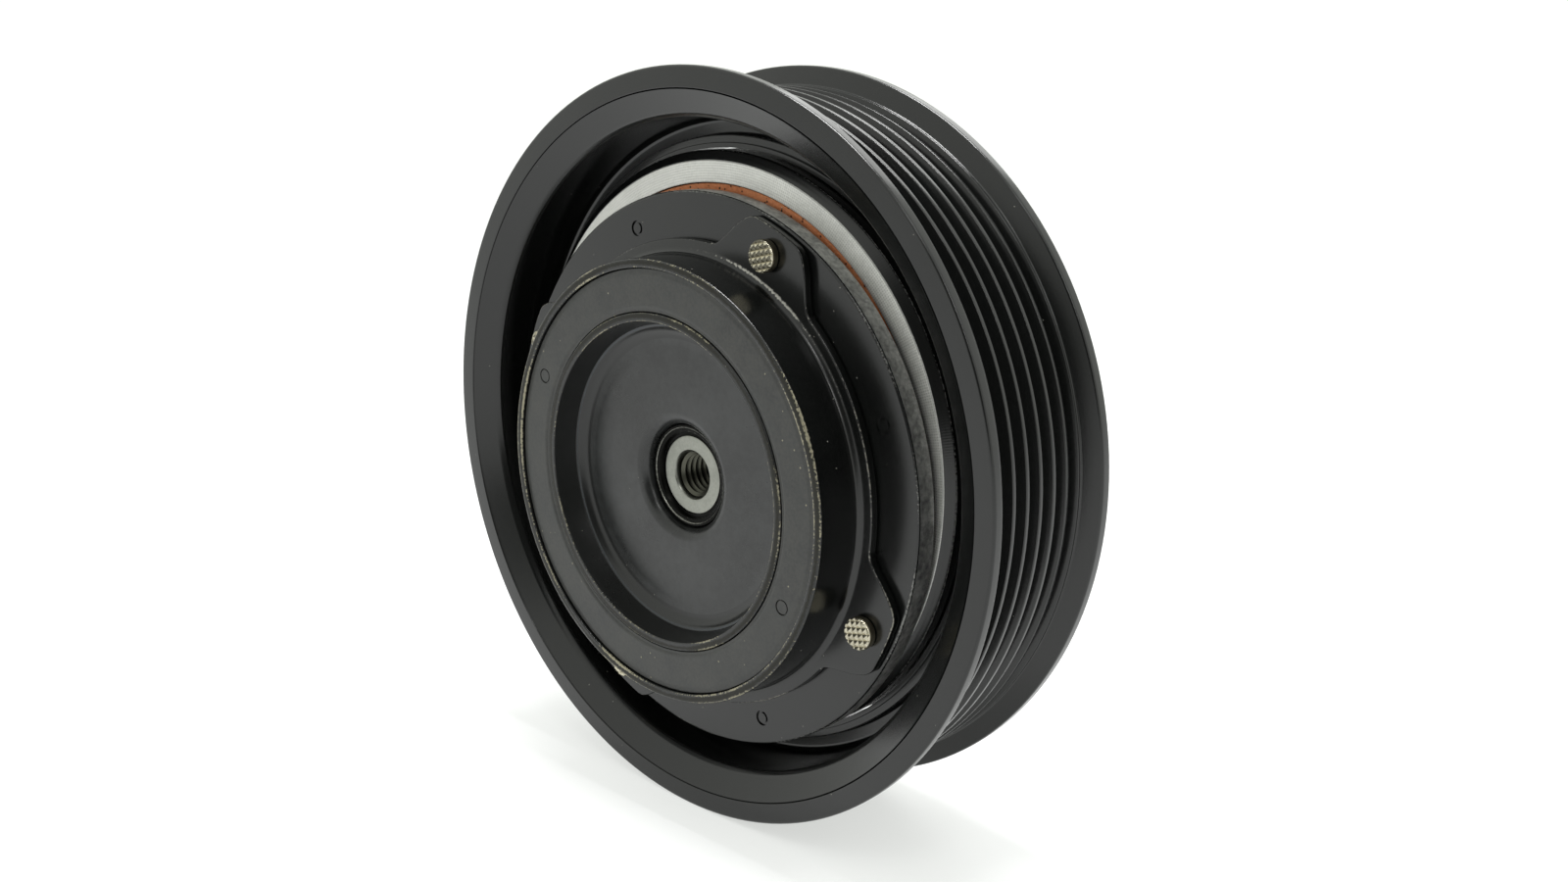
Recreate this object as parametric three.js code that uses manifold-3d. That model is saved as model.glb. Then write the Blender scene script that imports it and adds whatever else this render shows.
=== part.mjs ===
// Electromagnetic clutch with a ribbed-belt pulley and a rubber-damped hub, in millimetres.
//
// The pulley's axis of rotation lies on Y. The front faces -Y and +Z is up. The origin is on the axis,
// in the plane where the coil's mounting plate meets the machine. A station is a distance forward from
// that plane, so y = -station. A profile lists [radius, station] points, in order round the section.
//
// The clutch is off its machine, so no shaft holds the hub and its armature yet. They lie low in the
// pulley, with the hub resting in the bearing's snap ring, and rise to the axis as a shaft goes in.

import * as THREE from "three";
import { mergeVertices } from "three/addons/utils/BufferGeometryUtils.js";
import Module from "manifold-3d";

const wasm = await Module();
wasm.setup();

const degrees = THREE.MathUtils.degToRad;

// ---- Clearances ----
const bondGap = 0.25; // round a face that is pressed, bonded or welded to its neighbour
const seatGap = 0.2; // between two flat faces that rest on each other
const runningGap = 0.7; // between the turning rotor and the standing coil
const airGap = 0.6; // rotor face to armature, released
const raceGap = 0.25; // ball to race and ball to cage pocket
const snapPlay = 0.1; // on each side of a snap ring in its groove
const past = 1; // how far a cutter runs past the face that it opens
const easing = 0.3; // a rounded corner's middle lies this share of its radius off the sharp corner

// ---- Facets round the axis; the number divides by 12, so turned pieces meet in every pose ----
const facets = 36;
const smallFacets = 12; // round a hole or a rivet

// ---- Bearing: 35 bore, 55 outside, 20 wide ----
const bearingBore = 17.5;
const bearingRadius = 27.5;
const bearingWidth = 20;
const bearingRear = 4.2; // station of its rear face
const ringThickness = 3.1;
const ballRadius = 3.175;
const ballCount = 12;
const cageThickness = 1.6;
const cageRail = 0.8;
const sealThickness = 1;
const sealRecess = 0.5;

// ---- Snap rings ----
const snapThickness = 1.2;
const snapDepth = 0.9; // how far a ring enters its groove
const snapWidth = 2.8;
const snapHalfGap = degrees(16); // from the middle of the opening to a ring's end
const lugRadius = 1.8;
const lugHole = 0.8;
const lugShift = 0.54; // from the ring's edge out to a lug's centre

// ---- Rotor ----
const sleeveWall = 2.6;
const facePlate = 6;
const rotorOuterWall = 4.5;
const faceChamfer = 1.8;
const faceChamferDepth = 1.26;
const rotorSleeveRear = 8.5; // station of the rear end of its outer wall
const bearingShoulder = 1;
const rearLip = 0.8; // thickness of the lip behind the bearing
const slotWidth = 2.2;
const slotsPerRow = 6;
const slotBridge = degrees(12);
const innerSlotShift = 0.3;
const frictionOuterInset = 3.8; // face edge to friction ring
const frictionWidth = 2.2;
const frictionDepth = 2.4;
const frictionRecess = 0.3;

// ---- Coil ----
const coilHousingWall = 2;
const coilHousingBack = 2.5;
const coilWindow = 11.75; // radial room inside the housing
const bobbinWall = 0.9;
const pottingThickness = 1.4;
const pottingSink = 0.4; // below the housing's rim
const windingSink = 0.4; // below the bobbin's edge
const coilFrontGap = 1; // coil housing to rotor face plate

// ---- Mounting plate ----
const plateThickness = 2.4;
const plateBore = 21.6;
const plateRadius = 44;
const pinRadius = 2;
const pinCircle = 38;
const pinStandOut = 3.2;
const pinSink = 0.3; // below the plate's front face
const glandWidth = 11;
const glandReach = 7;
const glandHeight = 4.4;
const leadRadius = 1.1;
const leadSpacing = 5;

// ---- Belt pulley ----
const bowlDepth = 8.4; // pulley front face to rotor face
const bowlGap = 5.5; // rotor wall to pulley bore
const rimWall = 2.1;
const grooveCount = 7;
const groovePitch = 3.56;
const grooveDepth = 3;
const grooveHalfAngle = degrees(20);
const grooveRootHalf = 0.3;
const frontMargin = 4.5; // front face to the middle of the first groove
const rearMargin = 5.14; // middle of the last groove to the rear face
const flangeHeight = 3.4;
const flangeRim = 2.1;
const flangeLean = degrees(18); // the rear flange's flank, off square
const edgeBevel = 0.4;
const faceWidth = 3.8; // flat front annulus
const lipDepth = 2.5;
const lipDrop = 4; // front annulus to lip, radially
const lipBevel = 1;
const faceLineWidth = 0.3;
const faceLineDepth = 0.2;
const webThickness = 4;
const webFrontDepth = 15;
const webBossWidth = 2.2;
const webBossRise = 3;
const webFillet = 2;

// ---- Armature and its riveted shell ----
const armatureInset = 1; // rotor face edge to armature edge
const armatureThickness = 4;
const armatureTravel = 0.5;
const armatureInnerGap = 2.3; // hub cup to armature bore
const earCount = 4;
const earAngle = degrees(65);
const earInset = 0.6; // armature edge to ear tip
const earTipHalf = 6.2;
const earRootHalf = 10.6;
const earCorner = 3;
const earBlend = degrees(4); // how far a root's hollow blend runs along the ring
const earBlendShare = 0.3; // and how far it runs up the flank
const earBlendPull = 1;
const rivetInset = 5.2; // armature edge to rivet circle
const rivetShank = 2.1;
const rivetHead = 2.8;
const rivetHeadHeight = 1.8;
const rivetBevel = 0.45;
const shellInset = 5.4; // rivet circle to shell wall
const shellThickness = 1.6;
const shellHeight = 9;
const shellFillet = 2;
const ringEdgeWidth = 2.6; // shell wall to the plate's edge between ears
const armatureSlotInset = 1.8; // plate edge to the middle of the armature's slots
const armatureSlotSpan = degrees(50);

// ---- Damper and hub ----
const rubberWidth = 7.5;
const rubberSink = 0.5; // below the shell's front edge
const rubberRearGap = 1.3; // above the armature
const rubberBevel = 0.5;
const cupSink = 0.5; // below the shell's front edge
const cupWall = 1.5;
const cupDepth = 5.8;
const cupTaper = 1.5;
const cupFloor = 3.2;
const cupFillet = 1;
const cupHollow = 2.4; // from the crease in to the flat floor
const cupHole = 9.3;
const cupHoleRound = 0.85;
const hubSpigotSink = 1.9; // cup floor to the hub's staked rim
const hubFaceSink = 2.7; // cup floor to the hub's machined face
const hubFaceRadius = 7.1;
const hubFlangeRadius = 17;
const hubFlangeThickness = 3.2;
const hubRadius = 12.5;
const hubRest = 0.35; // hub to snap ring, where the hub lies
const hubRear = 9; // station
const hubBevel = 0.6;
const hubStep = 0.3;
const threadRadius = 3.4;
const threadChamfer = 0.7;
const threadLength = 12;
const splineRoot = 6.2;
const splineTip = 5.4;
const splineTeeth = 16;
const splineTipShare = 0.3; // half of the gap at the teeth's tips, as a share of a tooth's pitch
const splineRootShare = 0.2;
const shimThickness = 0.5;
const shimBore = 3.6;

// ---- Sizes that follow ----
const bearingFront = bearingRear + bearingWidth;
const bearingMiddle = bearingRear + bearingWidth / 2;
const pitchRadius = (bearingBore + bearingRadius) / 2;
const snapRear = bearingFront + seatGap;
const rotorFace = snapRear + snapThickness + 2 * seatGap;
const sleeveBore = bearingRadius + bondGap;
const sleeveRadius = sleeveBore + sleeveWall;
const coilInner = sleeveRadius + runningGap;
const windowInner = coilInner + coilHousingWall;
const windowOuter = windowInner + coilWindow;
const coilOuter = windowOuter + coilHousingWall;
const rotorWallInner = coilOuter + runningGap;
const rotorRadius = rotorWallInner + rotorOuterWall;
const faceRadius = rotorRadius - faceChamfer;
const facePlateRear = rotorFace - facePlate;
const coilRear = plateThickness + seatGap;
const coilFront = facePlateRear - coilFrontGap;

const pulleyFront = rotorFace + bowlDepth;
const pulleyWidth = frontMargin + (grooveCount - 1) * groovePitch + rearMargin;
const pulleyRear = pulleyFront - pulleyWidth;
const rimBore = rotorRadius + bowlGap;
const grooveRoot = rimBore + rimWall;
const crestRadius = grooveRoot + grooveDepth;
const flangeRadius = crestRadius + flangeHeight;

const armatureRadius = faceRadius - armatureInset;
const armatureRear = rotorFace + airGap;
const armatureFront = armatureRear + armatureThickness;
const earRear = armatureFront + seatGap;
const earFront = earRear + shellThickness;
const shellFront = earFront + shellHeight;
const rivetCircle = armatureRadius - rivetInset;
const shellRadius = rivetCircle - shellInset;
const shellBore = shellRadius - shellThickness;
const ringEdge = shellRadius + ringEdgeWidth;
const cupRadius = shellBore - rubberWidth;
const cupMouth = cupRadius - cupWall;
const cupFront = shellFront - cupSink;
const cupFloorFront = cupFront - cupDepth;
const cupFloorRear = cupFloorFront - cupFloor;
const hubFlangeFront = cupFloorRear - seatGap;
const hubFaceStation = cupFloorFront - hubFaceSink;
const shoulderStation = hubFaceStation - threadLength;
const armatureBore = cupRadius + armatureInnerGap;
const hubDrop = bearingBore - snapDepth - hubRadius - hubRest; // pulley axis down to the hub's axis

// ---- Materials ----
const finish = (color, roughness, metalness) => () =>
  new THREE.MeshStandardMaterial({ color, roughness, metalness });
const blackCoat = finish(0x17181a, 0.45, 0.3);
const bareSteel = finish(0x9c9b96, 0.35, 1);
const machinedFace = finish(0xb9b9b4, 0.4, 1);
const bearingSteel = finish(0xb4b6b8, 0.25, 1);
const frictionLining = finish(0xa2572c, 0.85, 0);
const rubber = finish(0x33373a, 0.7, 0);
const sealRubber = finish(0x2a1c16, 0.6, 0);
const nylon = finish(0xc9bea0, 0.55, 0);
const copper = finish(0xa8582a, 0.35, 1);
const resin = finish(0x3a2a20, 0.4, 0);
const rivetSteel = finish(0xa79f7e, 0.35, 1);

// ---- Helpers ----
function turned(profile) {
  const points = profile.map(([radius, station]) => new THREE.Vector2(radius, -station));
  if (THREE.ShapeUtils.area(points) < 0) points.reverse();
  points.push(points[0].clone());
  return new THREE.LatheGeometry(points, facets);
}

function plate(shape, rear, front, curveSegments = 12) {
  const options = { depth: front - rear, bevelEnabled: false, curveSegments };
  const geometry = new THREE.ExtrudeGeometry(shape, options);
  return geometry.translate(0, 0, rear).rotateX(Math.PI / 2);
}

function solid(geometry) {
  const bare = geometry.clone();
  bare.deleteAttribute("normal");
  bare.deleteAttribute("uv");
  const merged = mergeVertices(bare, 1e-4);
  const vertProperties = new Float32Array(merged.attributes.position.array);
  const triVerts = new Uint32Array(merged.index.array);
  return new wasm.Manifold(new wasm.Mesh({ numProp: 3, vertProperties, triVerts }));
}

function geometryOf(manifold) {
  const mesh = manifold.getMesh();
  const geometry = new THREE.BufferGeometry();
  geometry.setAttribute("position", new THREE.BufferAttribute(mesh.vertProperties, 3));
  geometry.setIndex(new THREE.BufferAttribute(mesh.triVerts, 1));
  geometry.computeVertexNormals();
  return geometry;
}

const joined = (base, ...others) =>
  geometryOf(others.reduce((whole, other) => whole.add(solid(other)), solid(base)));
const cut = (base, ...cutters) =>
  geometryOf(cutters.reduce((whole, cutter) => whole.subtract(solid(cutter)), solid(base)));

// A circle about the axis's direction, such as a hole, at a polar place.
function circle(radius, atRadius = 0, atAngle = 0) {
  const x = atRadius * Math.cos(atAngle);
  const y = atRadius * Math.sin(atAngle);
  return new THREE.Shape().absarc(x, y, radius, 0, 2 * Math.PI, false);
}

// A stretch of a ring, from one angle to another.
function ringStretch(inner, outer, from, to) {
  return new THREE.Shape()
    .absarc(0, 0, outer, from, to, false)
    .absarc(0, 0, inner, to, from, true)
    .closePath();
}

// A row of curved slots about one radius.
function slotRow(radius, count, span, firstAngle, rear, front) {
  return Array.from({ length: count }, (_, i) => {
    const middle = firstAngle + (i * 2 * Math.PI) / count;
    const from = middle - span / 2;
    const stretch = ringStretch(radius - slotWidth / 2, radius + slotWidth / 2, from, from + span);
    return plate(stretch, rear, front, 4);
  });
}

const group = new THREE.Group();
const hubGroup = new THREE.Group();
hubGroup.position.z = -hubDrop;
group.add(hubGroup);

function add(name, geometry, material, into = group) {
  const mesh = new THREE.Mesh(geometry, material());
  mesh.name = name;
  into.add(mesh);
}

// ---- Belt pulley: ribbed rim, flanges, bowl wall and web ----
function pulleyRim() {
  const grooveTopHalf = grooveRootHalf + grooveDepth * Math.tan(grooveHalfAngle);
  const flangeSlope = flangeHeight * Math.tan(flangeLean);
  const webFront = pulleyFront - webFrontDepth;
  const webRear = webFront - webThickness;
  const bossRadius = rotorRadius + bondGap;
  const faceInner = flangeRadius - faceWidth;
  const profile = [
    [faceInner, pulleyFront],
    [flangeRadius - edgeBevel, pulleyFront],
    [flangeRadius, pulleyFront - edgeBevel],
    [flangeRadius, pulleyFront - flangeRim],
  ];
  for (let i = 0; i < grooveCount; i += 1) {
    const middle = pulleyFront - frontMargin - i * groovePitch;
    if (i > 0) profile.push([crestRadius, middle + grooveTopHalf]);
    profile.push([grooveRoot, middle + grooveRootHalf], [grooveRoot, middle - grooveRootHalf]);
    profile.push([crestRadius, middle - grooveTopHalf]);
  }
  profile.push(
    [crestRadius, pulleyRear + flangeRim + flangeSlope],
    [flangeRadius, pulleyRear + flangeRim],
    [flangeRadius, pulleyRear + edgeBevel],
    [flangeRadius - edgeBevel, pulleyRear],
    [rimBore, pulleyRear],
    [rimBore, webRear - webFillet],
    [rimBore - webFillet, webRear],
    [bossRadius, webRear],
    [bossRadius, webFront + webBossRise],
    [bossRadius + webBossWidth, webFront + webBossRise],
    [bossRadius + webBossWidth, webFront],
    [rimBore - webFillet / 2, webFront],
    [rimBore, webFront + webFillet / 2],
    [rimBore, pulleyFront - lipDepth - lipBevel],
    [faceInner - lipDrop, pulleyFront - lipDepth],
    [faceInner - faceLineWidth, pulleyFront - faceLineDepth],
  );
  return turned(profile);
}

// ---- Rotor: bearing sleeve, friction face with two rows of slots, outer wall ----
const frictionOuter = faceRadius - frictionOuterInset;
const frictionInner = frictionOuter - frictionWidth;
const innerSlotRadius = windowInner - slotWidth / 2 + innerSlotShift;

function rotorBody() {
  const snapGroove = sleeveBore + snapDepth + bondGap;
  const lipFront = bearingRear - seatGap;
  const body = turned([
    [sleeveBore, rotorFace],
    [frictionInner - bondGap, rotorFace],
    [frictionInner - bondGap, rotorFace - frictionDepth],
    [frictionOuter + bondGap, rotorFace - frictionDepth],
    [frictionOuter + bondGap, rotorFace],
    [faceRadius, rotorFace],
    [rotorRadius, rotorFace - faceChamferDepth],
    [rotorRadius, rotorSleeveRear],
    [rotorWallInner, rotorSleeveRear],
    [rotorWallInner, facePlateRear],
    [sleeveRadius, facePlateRear],
    [sleeveRadius, lipFront - rearLip],
    [bearingRadius - bearingShoulder, lipFront - rearLip],
    [bearingRadius - bearingShoulder, lipFront],
    [sleeveBore, lipFront],
    [sleeveBore, snapRear - snapPlay],
    [snapGroove, snapRear - snapPlay],
    [snapGroove, snapRear + snapThickness + snapPlay],
    [sleeveBore, snapRear + snapThickness + snapPlay],
  ]);
  const span = (2 * Math.PI) / slotsPerRow - slotBridge;
  const middle = (frictionInner + frictionOuter) / 2;
  const rear = facePlateRear - past;
  const turn = Math.PI / slotsPerRow;
  const outerRow = slotRow(middle, slotsPerRow, span, 0, rear, rotorFace - frictionDepth + past);
  const innerRow = slotRow(innerSlotRadius, slotsPerRow, span, turn, rear, rotorFace + past);
  return cut(body, ...outerRow, ...innerRow);
}

const frictionRing = () =>
  turned([
    [frictionInner, rotorFace - frictionDepth + seatGap],
    [frictionOuter, rotorFace - frictionDepth + seatGap],
    [frictionOuter, rotorFace - frictionRecess],
    [frictionInner, rotorFace - frictionRecess],
  ]);

// ---- Bearing ----
// A bearing ring from its back, which seats, to its land, with a rolling track cut in the land.
function race(back, land) {
  const trackRadius = ballRadius + raceGap;
  const side = Math.sign(back - land);
  const halfTrack = Math.sqrt(trackRadius ** 2 - (land - pitchRadius) ** 2);
  const start = Math.atan2(halfTrack, Math.abs(land - pitchRadius));
  const points = [[back, bearingRear], [back, bearingFront], [land, bearingFront]];
  const steps = 4;
  for (let i = 0; i <= steps; i += 1) {
    const angle = start - (2 * start * i) / steps;
    const radius = pitchRadius + side * trackRadius * Math.cos(angle);
    points.push([radius, bearingMiddle + trackRadius * Math.sin(angle)]);
  }
  points.push([land, bearingRear]);
  return turned(points);
}

const innerLand = bearingBore + ringThickness;
const outerLand = bearingRadius - ringThickness;

function seal(frontStation) {
  return turned([
    [innerLand + raceGap, frontStation - sealThickness],
    [outerLand - bondGap, frontStation - sealThickness],
    [outerLand - bondGap, frontStation],
    [innerLand + raceGap, frontStation],
  ]);
}

function bearingCage() {
  const pocket = ballRadius + raceGap;
  const half = pocket + cageRail;
  const ring = turned([
    [pitchRadius - cageThickness / 2, bearingMiddle - half],
    [pitchRadius + cageThickness / 2, bearingMiddle - half],
    [pitchRadius + cageThickness / 2, bearingMiddle + half],
    [pitchRadius - cageThickness / 2, bearingMiddle + half],
  ]);
  const pockets = ballPlaces().map(({ x, z, angle }) =>
    new THREE.CylinderGeometry(pocket, pocket, cageThickness + 2 * past, smallFacets)
      .rotateZ(-Math.PI / 2)
      .rotateY(-angle)
      .translate(x, -bearingMiddle, z),
  );
  return cut(ring, ...pockets);
}

function ballPlaces() {
  return Array.from({ length: ballCount }, (_, i) => {
    const angle = (i * 2 * Math.PI) / ballCount;
    return { x: pitchRadius * Math.cos(angle), z: pitchRadius * Math.sin(angle), angle };
  });
}

// ---- Snap rings: open rings with two drilled lugs ----
function snapRing(inner, outer, rear, middleAngle, lugSide) {
  const lugAt = lugSide > 0 ? outer + lugShift : inner - lugShift;
  const from = middleAngle + snapHalfGap;
  const to = middleAngle + 2 * Math.PI - snapHalfGap;
  const front = rear + snapThickness;
  const lugs = [from, to].map((angle) => plate(circle(lugRadius, lugAt, angle), rear, front, 5));
  const holes = [from, to].map((angle) =>
    plate(circle(lugHole, lugAt, angle), rear - past, front + past, 3),
  );
  const ring = plate(ringStretch(inner, outer, from, to), rear, front, 16);
  return cut(joined(ring, ...lugs), ...holes);
}

// ---- Coil: steel housing, spool, winding, resin, mounting plate ----
const bobbinRear = coilRear + coilHousingBack + bondGap;
const pottingFront = coilFront - pottingSink;
const bobbinFront = pottingFront - pottingThickness - seatGap;
const bobbinInner = windowInner + bondGap;
const bobbinOuter = windowOuter - bondGap;

const coilHousing = () =>
  turned([
    [coilInner, coilRear],
    [coilOuter, coilRear],
    [coilOuter, coilFront],
    [windowOuter, coilFront],
    [windowOuter, coilRear + coilHousingBack],
    [windowInner, coilRear + coilHousingBack],
    [windowInner, coilFront],
    [coilInner, coilFront],
  ]);

const bobbin = () =>
  turned([
    [bobbinInner, bobbinRear],
    [bobbinOuter, bobbinRear],
    [bobbinOuter, bobbinRear + bobbinWall],
    [bobbinInner + bobbinWall, bobbinRear + bobbinWall],
    [bobbinInner + bobbinWall, bobbinFront - bobbinWall],
    [bobbinOuter, bobbinFront - bobbinWall],
    [bobbinOuter, bobbinFront],
    [bobbinInner, bobbinFront],
  ]);

const winding = () =>
  turned([
    [bobbinInner + bobbinWall + bondGap, bobbinRear + bobbinWall + bondGap],
    [bobbinOuter - windingSink, bobbinRear + bobbinWall + bondGap],
    [bobbinOuter - windingSink, bobbinFront - bobbinWall - bondGap],
    [bobbinInner + bobbinWall + bondGap, bobbinFront - bobbinWall - bondGap],
  ]);

const potting = () =>
  turned([
    [bobbinInner, bobbinFront + seatGap],
    [bobbinOuter, bobbinFront + seatGap],
    [bobbinOuter, pottingFront],
    [bobbinInner, pottingFront],
  ]);

function mountingPlate() {
  const outline = circle(plateRadius);
  outline.holes.push(circle(plateBore), circle(pinRadius + bondGap, pinCircle, Math.PI / 2));
  return plate(outline, 0, plateThickness, 16);
}

function locatingPin() {
  const front = plateThickness - pinSink;
  const pin = new THREE.CylinderGeometry(pinRadius, pinRadius, pinStandOut + front, smallFacets);
  return pin.translate(0, (pinStandOut - front) / 2, pinCircle);
}

function leadGland() {
  const near = coilOuter + bondGap;
  const rear = coilRear;
  const block = new THREE.BoxGeometry(glandWidth, glandHeight, glandReach);
  block.translate(0, -rear - glandHeight / 2, -near - glandReach / 2);
  const wires = [-1, 1].map((side) =>
    new THREE.CylinderGeometry(leadRadius, leadRadius, glandReach, smallFacets)
      .rotateX(Math.PI / 2)
      .translate((side * leadSpacing) / 2, -rear - glandHeight / 2, -near - glandReach),
  );
  return cut(block, ...wires);
}

// ---- Armature, rivets and the ear plate that is drawn up into the damper's shell ----
const earAngles = Array.from({ length: earCount }, (_, i) => earAngle + (i * 2 * Math.PI) / earCount);
const rivetHole = rivetShank + bondGap;

function armaturePlate() {
  const ring = turned([
    [armatureBore, armatureRear],
    [armatureRadius - edgeBevel, armatureRear],
    [armatureRadius, armatureRear + edgeBevel],
    [armatureRadius, armatureFront - edgeBevel],
    [armatureRadius - edgeBevel, armatureFront],
    [armatureBore, armatureFront],
  ]);
  const slotRadius = ringEdge - armatureSlotInset;
  const firstSlot = earAngle + Math.PI / earCount;
  const rear = armatureRear - past;
  const front = armatureFront + past;
  const slots = slotRow(slotRadius, earCount, armatureSlotSpan, firstSlot, rear, front);
  const holes = earAngles.map((angle) => plate(circle(rivetHole, rivetCircle, angle), rear, front, 6));
  return cut(ring, ...slots, ...holes);
}

// The plate's outline: arcs between the ears, hollow blends, straight flanks and round corners.
function earOutline() {
  const tip = armatureRadius - earInset;
  const outline = new THREE.Shape();
  const rootAngle = Math.asin(earRootHalf / ringEdge) + earBlend;
  const rootRadial = ringEdge * Math.cos(rootAngle);
  const rootAcross = ringEdge * Math.sin(rootAngle);
  earAngles.forEach((angle, i) => {
    const at = (radial, across) => [
      radial * Math.cos(angle) - across * Math.sin(angle),
      radial * Math.sin(angle) + across * Math.cos(angle),
    ];
    const flank = (share) => {
      const across = earRootHalf + (earTipHalf - earRootHalf) * share;
      return [ringEdge + (tip - ringEdge) * share, across];
    };
    const [lowRadial, lowAcross] = flank(earBlendShare);
    const [highRadial, highAcross] = flank(1 - earCorner / (tip - ringEdge));
    const hollow = ringEdge - earBlendPull;
    if (i === 0) outline.moveTo(...at(rootRadial, -rootAcross));
    outline.quadraticCurveTo(...at(hollow, -earRootHalf), ...at(lowRadial, -lowAcross));
    outline.lineTo(...at(highRadial, -highAcross));
    outline.quadraticCurveTo(...at(tip, -earTipHalf), ...at(tip, -earTipHalf + earCorner));
    outline.lineTo(...at(tip, earTipHalf - earCorner));
    outline.quadraticCurveTo(...at(tip, earTipHalf), ...at(highRadial, highAcross));
    outline.lineTo(...at(lowRadial, lowAcross));
    outline.quadraticCurveTo(...at(hollow, earRootHalf), ...at(rootRadial, rootAcross));
    const next = angle + (2 * Math.PI) / earCount - rootAngle;
    outline.absarc(0, 0, ringEdge, angle + rootAngle, next, false);
  });
  return outline;
}

function damperShell() {
  const outline = earOutline();
  outline.holes.push(circle(shellRadius + shellThickness / 4));
  earAngles.forEach((angle) => outline.holes.push(circle(rivetHole, rivetCircle, angle)));
  const wall = turned([
    [shellBore, earRear],
    [shellRadius + shellThickness / 2, earRear],
    [shellRadius + shellFillet, earFront],
    [shellRadius + shellFillet * easing, earFront + shellFillet * easing],
    [shellRadius, earFront + shellFillet],
    [shellRadius, shellFront],
    [shellBore, shellFront],
  ]);
  return joined(wall, plate(outline, earRear, earFront, 6));
}

function rivet(angle) {
  const headRear = earFront + seatGap;
  const x = rivetCircle * Math.cos(angle);
  const z = rivetCircle * Math.sin(angle);
  const points = [
    [0, armatureRear + seatGap],
    [rivetShank, armatureRear + seatGap],
    [rivetShank, headRear],
    [rivetHead, headRear],
    [rivetHead, headRear + rivetHeadHeight - rivetBevel],
    [rivetHead - rivetBevel, headRear + rivetHeadHeight],
    [0, headRear + rivetHeadHeight],
  ].map(([radius, station]) => new THREE.Vector2(radius, -station));
  return new THREE.LatheGeometry(points.reverse(), smallFacets).translate(x, 0, z);
}

// ---- Damper rubber, hub cup and hub ----
function damperRubber() {
  const inner = cupRadius + bondGap;
  const outer = shellBore - bondGap;
  const front = shellFront - rubberSink;
  const rear = armatureFront + rubberRearGap;
  return turned([
    [inner, rear + rubberBevel],
    [inner + rubberBevel, rear],
    [outer - rubberBevel, rear],
    [outer, rear + rubberBevel],
    [outer, front - rubberBevel],
    [outer - rubberBevel, front],
    [inner + rubberBevel, front],
    [inner, front - rubberBevel],
  ]);
}

function hubCup() {
  const crease = cupMouth - cupTaper;
  return turned([
    [cupHole, cupFloorRear],
    [cupRadius - cupFillet, cupFloorRear],
    [cupRadius, cupFloorRear + cupFillet],
    [cupRadius, cupFront],
    [cupMouth, cupFront],
    [crease, cupFloorFront + cupFillet],
    [crease - cupHollow, cupFloorFront],
    [cupHole + cupHoleRound, cupFloorFront],
    [cupHole + cupHoleRound * easing, cupFloorFront - cupHoleRound * easing],
    [cupHole, cupFloorFront - cupHoleRound],
  ]);
}

function splineShape() {
  const outline = new THREE.Shape();
  const step = (2 * Math.PI) / splineTeeth;
  const corners = [
    [splineTip, -splineTipShare],
    [splineRoot, -splineRootShare],
    [splineRoot, splineRootShare],
    [splineTip, splineTipShare],
  ];
  for (let i = 0; i < splineTeeth; i += 1) {
    corners.forEach(([radius, share], k) => {
      const angle = (i + share) * step;
      const point = [radius * Math.cos(angle), radius * Math.sin(angle)];
      if (i + k === 0) outline.moveTo(...point);
      else outline.lineTo(...point);
    });
  }
  return outline.closePath();
}

function hubBoss() {
  const spigotRadius = cupHole - bondGap;
  const spigotFront = cupFloorFront - hubSpigotSink;
  const body = turned([
    [threadRadius, hubRear],
    [hubRadius - hubBevel, hubRear],
    [hubRadius, hubRear + hubBevel],
    [hubRadius, hubFlangeFront - hubFlangeThickness],
    [hubFlangeRadius, hubFlangeFront - hubFlangeThickness],
    [hubFlangeRadius, hubFlangeFront],
    [spigotRadius, hubFlangeFront],
    [spigotRadius, spigotFront - hubStep],
    [spigotRadius - hubStep, spigotFront],
    [hubFaceRadius + hubStep, spigotFront],
    [hubFaceRadius, hubFaceStation],
    [threadRadius + threadChamfer, hubFaceStation],
    [threadRadius, hubFaceStation - threadChamfer],
  ]);
  return cut(body, plate(splineShape(), hubRear - past, shoulderStation));
}

const shim = () =>
  turned([
    [shimBore, shoulderStation - seatGap - shimThickness],
    [splineTip - bondGap, shoulderStation - seatGap - shimThickness],
    [splineTip - bondGap, shoulderStation - seatGap],
    [shimBore, shoulderStation - seatGap],
  ]);

// ---- Assembly ----
add("pulley_rim", pulleyRim(), blackCoat);
add("rotor", rotorBody(), machinedFace);
add("friction_ring", frictionRing(), frictionLining);
add("rotor_snap_ring", snapRing(
  sleeveBore + snapDepth - snapWidth,
  sleeveBore + snapDepth,
  snapRear,
  -Math.PI / 2,
  -1,
), bareSteel);
add("bearing_outer_ring", race(bearingRadius, outerLand), bearingSteel);
add("bearing_seal_front", seal(bearingFront - sealRecess), sealRubber);
add("bearing_seal_rear", seal(bearingRear + sealRecess + sealThickness), sealRubber);
add("bearing_cage", bearingCage(), nylon);
ballPlaces().forEach(({ x, z }, i) => {
  const ball = new THREE.SphereGeometry(ballRadius, 8, 6).translate(x, -bearingMiddle, z);
  add(`bearing_ball_${String(i + 1).padStart(2, "0")}`, ball, bearingSteel);
});
add("bearing_inner_ring", race(bearingBore, innerLand), bearingSteel);
add("nose_snap_ring", snapRing(
  bearingBore - snapDepth,
  bearingBore - snapDepth + snapWidth,
  snapRear,
  -Math.PI / 2,
  1,
), bareSteel);
add("mounting_plate", mountingPlate(), bareSteel);
add("locating_pin", locatingPin(), bareSteel);
add("coil_snap_ring", snapRing(
  plateBore - snapDepth,
  plateBore - snapDepth + snapWidth,
  plateThickness + seatGap,
  -Math.PI / 2,
  1,
), bareSteel);
add("coil_housing", coilHousing(), bareSteel);
add("coil_bobbin", bobbin(), nylon);
add("coil_winding", winding(), copper);
add("coil_potting", potting(), resin);
add("lead_gland", leadGland(), sealRubber);
add("armature_plate", armaturePlate(), blackCoat, hubGroup);
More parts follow.
